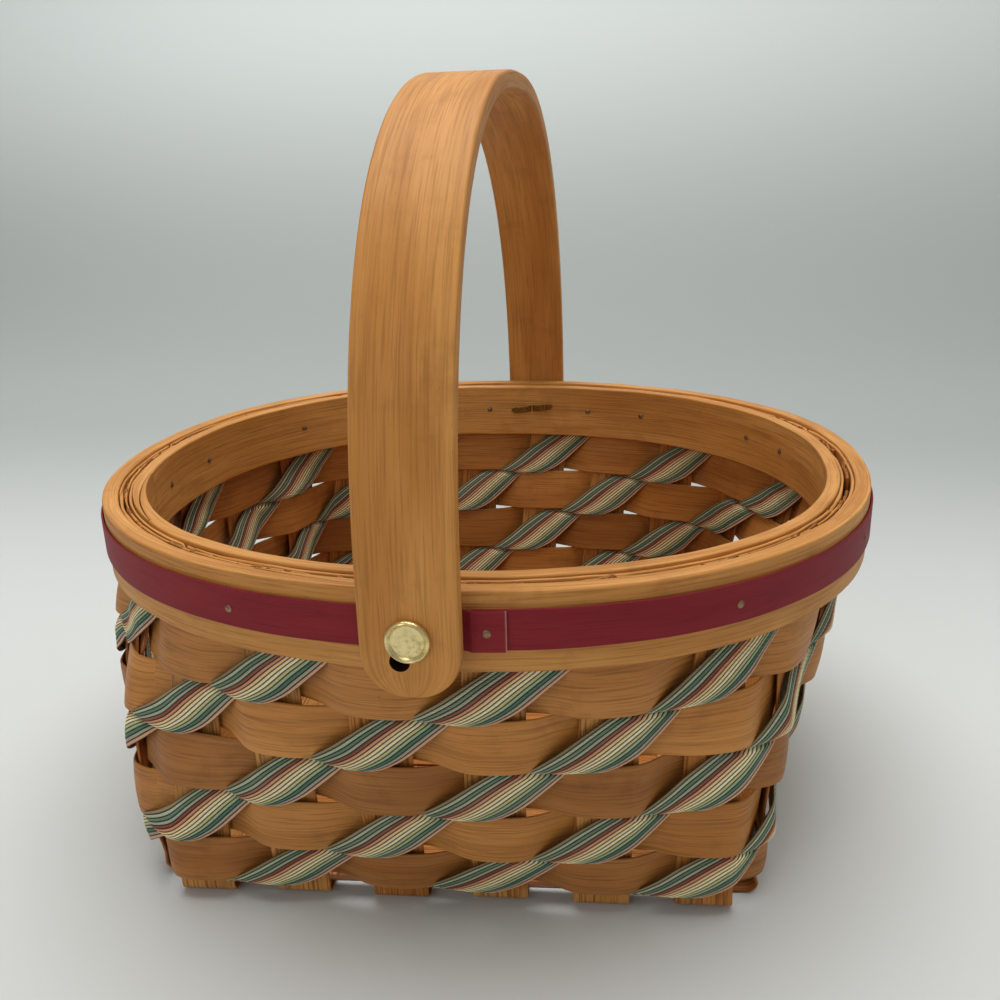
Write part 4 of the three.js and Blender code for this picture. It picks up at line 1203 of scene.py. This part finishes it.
class BasketPins(bpy.types.Operator):
    """Two brass split pins, with dished heads outside and legs bent flat inside"""

    bl_idname = "basket.make_pins"
    bl_label = "Pivot pins"

    def pin(self, name, side):
        axis = Vector((0, side, 0))
        seat = HANDLE_INSIDE + HANDLE_THICKNESS + PIECE_GAP
        inner = RIM_HALF_WIDTH + INNER_HOOP_FACE + 3.0
        bm = bmesh.new()
        outline = [(radius, seat + rise) for radius, rise in PIN_HEAD]
        outline += [(PIN_SHANK, inner), (0, inner)]
        lathe(bm, outline, Vector((HANDLE_X, 0, PIVOT_HEIGHT)), axis, 56)
        return finished_turning(name, bm)

    def leg(self, name, axis, hand):
        """A flat leg that comes through the hoop, turns and lies along it to a rounded point."""
        lie = RIM_HALF_WIDTH + INNER_HOOP_FACE - 0.55
        out, deep = PIN_LEG_TURN
        path = [(PIN_LEG_GAP, lie + 4.0), (PIN_LEG_GAP, lie + deep)]
        path += [(PIN_LEG_GAP + out * (1 - math.cos(angle)), lie + deep - deep * math.sin(angle))
                 for angle in (0.35, 0.7, 1.05, 1.4)]
        path += [(x, lie - PIN_LEG_BOW * math.sin((x - 1.6) / 9.2 * math.pi))
                 for x in (2.4, 3.6, 5.0, 6.5, 8.0, 9.2, 10.0, 10.6)]
        profile = slab_profile(3, 0.08)
        rings = []
        for i, (x, along) in enumerate(path):
            before, after = beside(path, i)
            run = Vector((hand * (after[0] - before[0]), 0, 0)) + axis * (after[1] - before[1])
            facing = run.cross(Vector((0, 0, 1))).normalized() * hand * -axis.y
            begin, reach = PIN_LEG_END
            width = PIN_LEG_WIDTH * math.sqrt(max(1 - max((x - begin) / reach, 0) ** 2, 0.02))
            point = Vector((HANDLE_X + hand * x, 0, PIVOT_HEIGHT + hand * 0.12 * x)) + axis * along
            half = Vector((0, 0, width))
            rings.append(strip_ring(point + half, point - half, facing, PIN_LEG_THICKNESS, profile))
        return sweep(name, rings, sharp=40)

    def execute(self, context):
        # The legs' brass is a darker copy of the heads' brass, painted shade for their place inside the
        # rim; its patches are tarnish.
        shaded_leg_brass = worn_metal("brass_legs_painted_shade", srgb("#a07c3c"), srgb("#4d3512"), 0.38)
        brass = worn_metal("brass", srgb("#ecdaa0"), srgb("#c9b27a"), 0.28)
        for name, side in (("front", -1), ("back", 1)):
            piece = self.pin(f"brass_pin_{name}", side)
            stand_for(piece, "basket", "brass", brass, f"pivot_pin_{name}")
            for hand, which in ((-1, "left"), (1, "right")):
                leg = self.leg(f"brass_leg_{name}_{which}", Vector((0, side, 0)), hand)
                stand_for(leg, "basket", "brass", shaded_leg_brass)
        return {"FINISHED"}


class BasketTacks(bpy.types.Operator):
    """Small tacks through the band and hoops, with their points turned over inside"""

    bl_idname = "basket.make_tacks"
    bl_label = "Tacks"

    def execute(self, context):
        steel = worn_metal("tack_steel", srgb("#a08468"), srgb("#5b4636"), 0.5)
        for i, stake in enumerate(TACK_STAKES):
            distance = rim_distance(stake)
            out = RIM.out(distance).to_3d()
            origin = raised(RIM.at(distance), RIM_HEIGHT - TACK_DROP)
            lapped = abs(distance - BAND_LAP_START - BAND_LAP / 2) < BAND_LAP / 2
            face = BAND_FACE + (BAND_THICKNESS + PIECE_GAP if lapped else 0)
            bm = bmesh.new()
            outline = [(radius, face + rise) for radius, rise in TACK_HEAD]
            outline += [(radius, INNER_HOOP_FACE + rise) for radius, rise in TACK_POINT]
            lathe(bm, outline, origin, out, 20)
            piece = finished_turning(f"rim_tack_{i + 1:02d}", bm)
            stand_for(piece, "basket", "tack_steel", steel, f"tack_{i + 1:02d}")
        return {"FINISHED"}


class BasketStage(bpy.types.Operator):
    """A pale floor that curves up into a backdrop, soft lamps and the camera"""

    bl_idname = "basket.set_stage"
    bl_label = "Stage"

    def floor(self, context):
        size = context.scene.basket_sizes.floor_size
        bm = bmesh.new()
        bmesh.ops.create_grid(bm, x_segments=1, y_segments=48, size=size / 2)
        for vert in bm.verts:
            vert.co.y += size / 2 - FLOOR_FRONT
            past = vert.co.y - FLOOR_BEND_START
            if past > 0:
                angle = min(past / FLOOR_BEND_RADIUS, math.pi / 2)
                vert.co.y = FLOOR_BEND_START + FLOOR_BEND_RADIUS * math.sin(angle)
                vert.co.z = (FLOOR_BEND_RADIUS * (1 - math.cos(angle))
                             + max(past - FLOOR_BEND_RADIUS * math.pi / 2, 0))
        for face in bm.faces:
            face.smooth = True
        floor = settle("floor", bm)
        finish = Finish("floor_paper")
        place = finish.place()
        clouds = finish.noise(place, scale=1.2)
        colour = tuple(context.scene.basket_colours.floor) + (1.0,)
        colour = finish.blend(clouds * 0.3, colour, srgb("#c3c6c7"))
        # Painted shade darkens the floor towards the back where it turns up, and painted light
        # brightens the backdrop higher up.
        colour = finish.blend(finish.band(finish.part(place, 1), 0.02, 0.55), colour, srgb("#a5aaa9"))
        colour = finish.blend(finish.band(finish.part(place, 2), 0.02, 0.6), colour, srgb("#e2e8e7"))
        finish.set(Base_Color=colour, Roughness=0.75)
        floor.data.materials.append(finish.material)
        floor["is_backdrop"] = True

    def lamp(self, name, place, target, size, power, colour):
        data = bpy.data.lights.new(name, "AREA")
        data.shape, data.size, data.energy, data.color = "DISK", size, power, colour
        lamp = bpy.data.objects.new(name, data)
        bpy.context.scene.collection.objects.link(lamp)
        lamp.location = place
        lamp.rotation_euler = (Vector(target) - Vector(place)).to_track_quat("-Z", "Y").to_euler()

    def camera(self):
        level = math.cos(CAMERA_ELEVATION)
        back = Vector((math.sin(CAMERA_AZIMUTH) * level, -math.cos(CAMERA_AZIMUTH) * level,
                       math.sin(CAMERA_ELEVATION)))
        right = Vector((math.cos(CAMERA_AZIMUTH), math.sin(CAMERA_AZIMUTH), 0))
        up = back.cross(right)
        c, s = math.cos(CAMERA_ROLL), math.sin(CAMERA_ROLL)
        turn = Matrix((right * c - up * s, right * s + up * c, back)).transposed()
        data = bpy.data.cameras.new("camera")
        data.sensor_width, data.lens, data.clip_start = SENSOR_WIDTH, CAMERA_LENS, 0.01
        camera = bpy.data.objects.new("camera", data)
        bpy.context.scene.collection.objects.link(camera)
        camera.matrix_world = Matrix.Translation(CAMERA_PLACE) @ turn.to_4x4()
        bpy.context.scene.camera = camera

    def execute(self, context):
        scene = context.scene
        scene.view_settings.view_transform = "Standard"
        self.floor(context)
        for lamp in LAMPS:
            self.lamp(*lamp)
        world = bpy.data.worlds.new("studio")
        world.use_nodes = True
        sky = world.node_tree.nodes["Background"].inputs
        sky["Color"].default_value = srgb("#e4e3df")
        sky["Strength"].default_value = SKY_STRENGTH
        scene.world = world
        self.camera()
        return {"FINISHED"}


class BasketPanel(bpy.types.Panel):
    """Buttons for each group of pieces, with their sizes and colours"""

    bl_idname = "VIEW3D_PT_basket"
    bl_label = "Woven Basket"
    bl_space_type = "VIEW_3D"
    bl_region_type = "UI"
    bl_category = "Basket"

    def draw(self, context):
        for operator in OPERATORS:
            self.layout.operator(operator.bl_idname)
        for group in (context.scene.basket_sizes, context.scene.basket_colours):
            box = self.layout.box()
            for name in group.__annotations__:
                box.prop(group, name)


OPERATORS = (
    BasketStage, BasketStakes, BasketWeavers, BasketRibbons,
    BasketRim, BasketHandle, BasketPins, BasketTacks,
)
CLASSES = (BasketSizes, BasketColours, *OPERATORS, BasketPanel)


def register():
    for cls in CLASSES:
        bpy.utils.register_class(cls)
    bpy.types.Scene.basket_sizes = bpy.props.PointerProperty(type=BasketSizes)
    bpy.types.Scene.basket_colours = bpy.props.PointerProperty(type=BasketColours)


def unregister():
    del bpy.types.Scene.basket_colours
    del bpy.types.Scene.basket_sizes
    for cls in reversed(CLASSES):
        bpy.utils.unregister_class(cls)


def main():
    register()
    bpy.ops.basket.set_stage()
    bpy.ops.basket.make_stakes()
    bpy.ops.basket.make_weavers()
    bpy.ops.basket.make_ribbons()
    bpy.ops.basket.make_rim()
    bpy.ops.basket.make_handle()
    bpy.ops.basket.make_pins()
    bpy.ops.basket.make_tacks()
    boxes = {"cad": CAD_BOX, "visual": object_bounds()}
    {name: [list(corner) for corner in box] for name, box in boxes.items()}


if __name__ == "__main__":
    main()
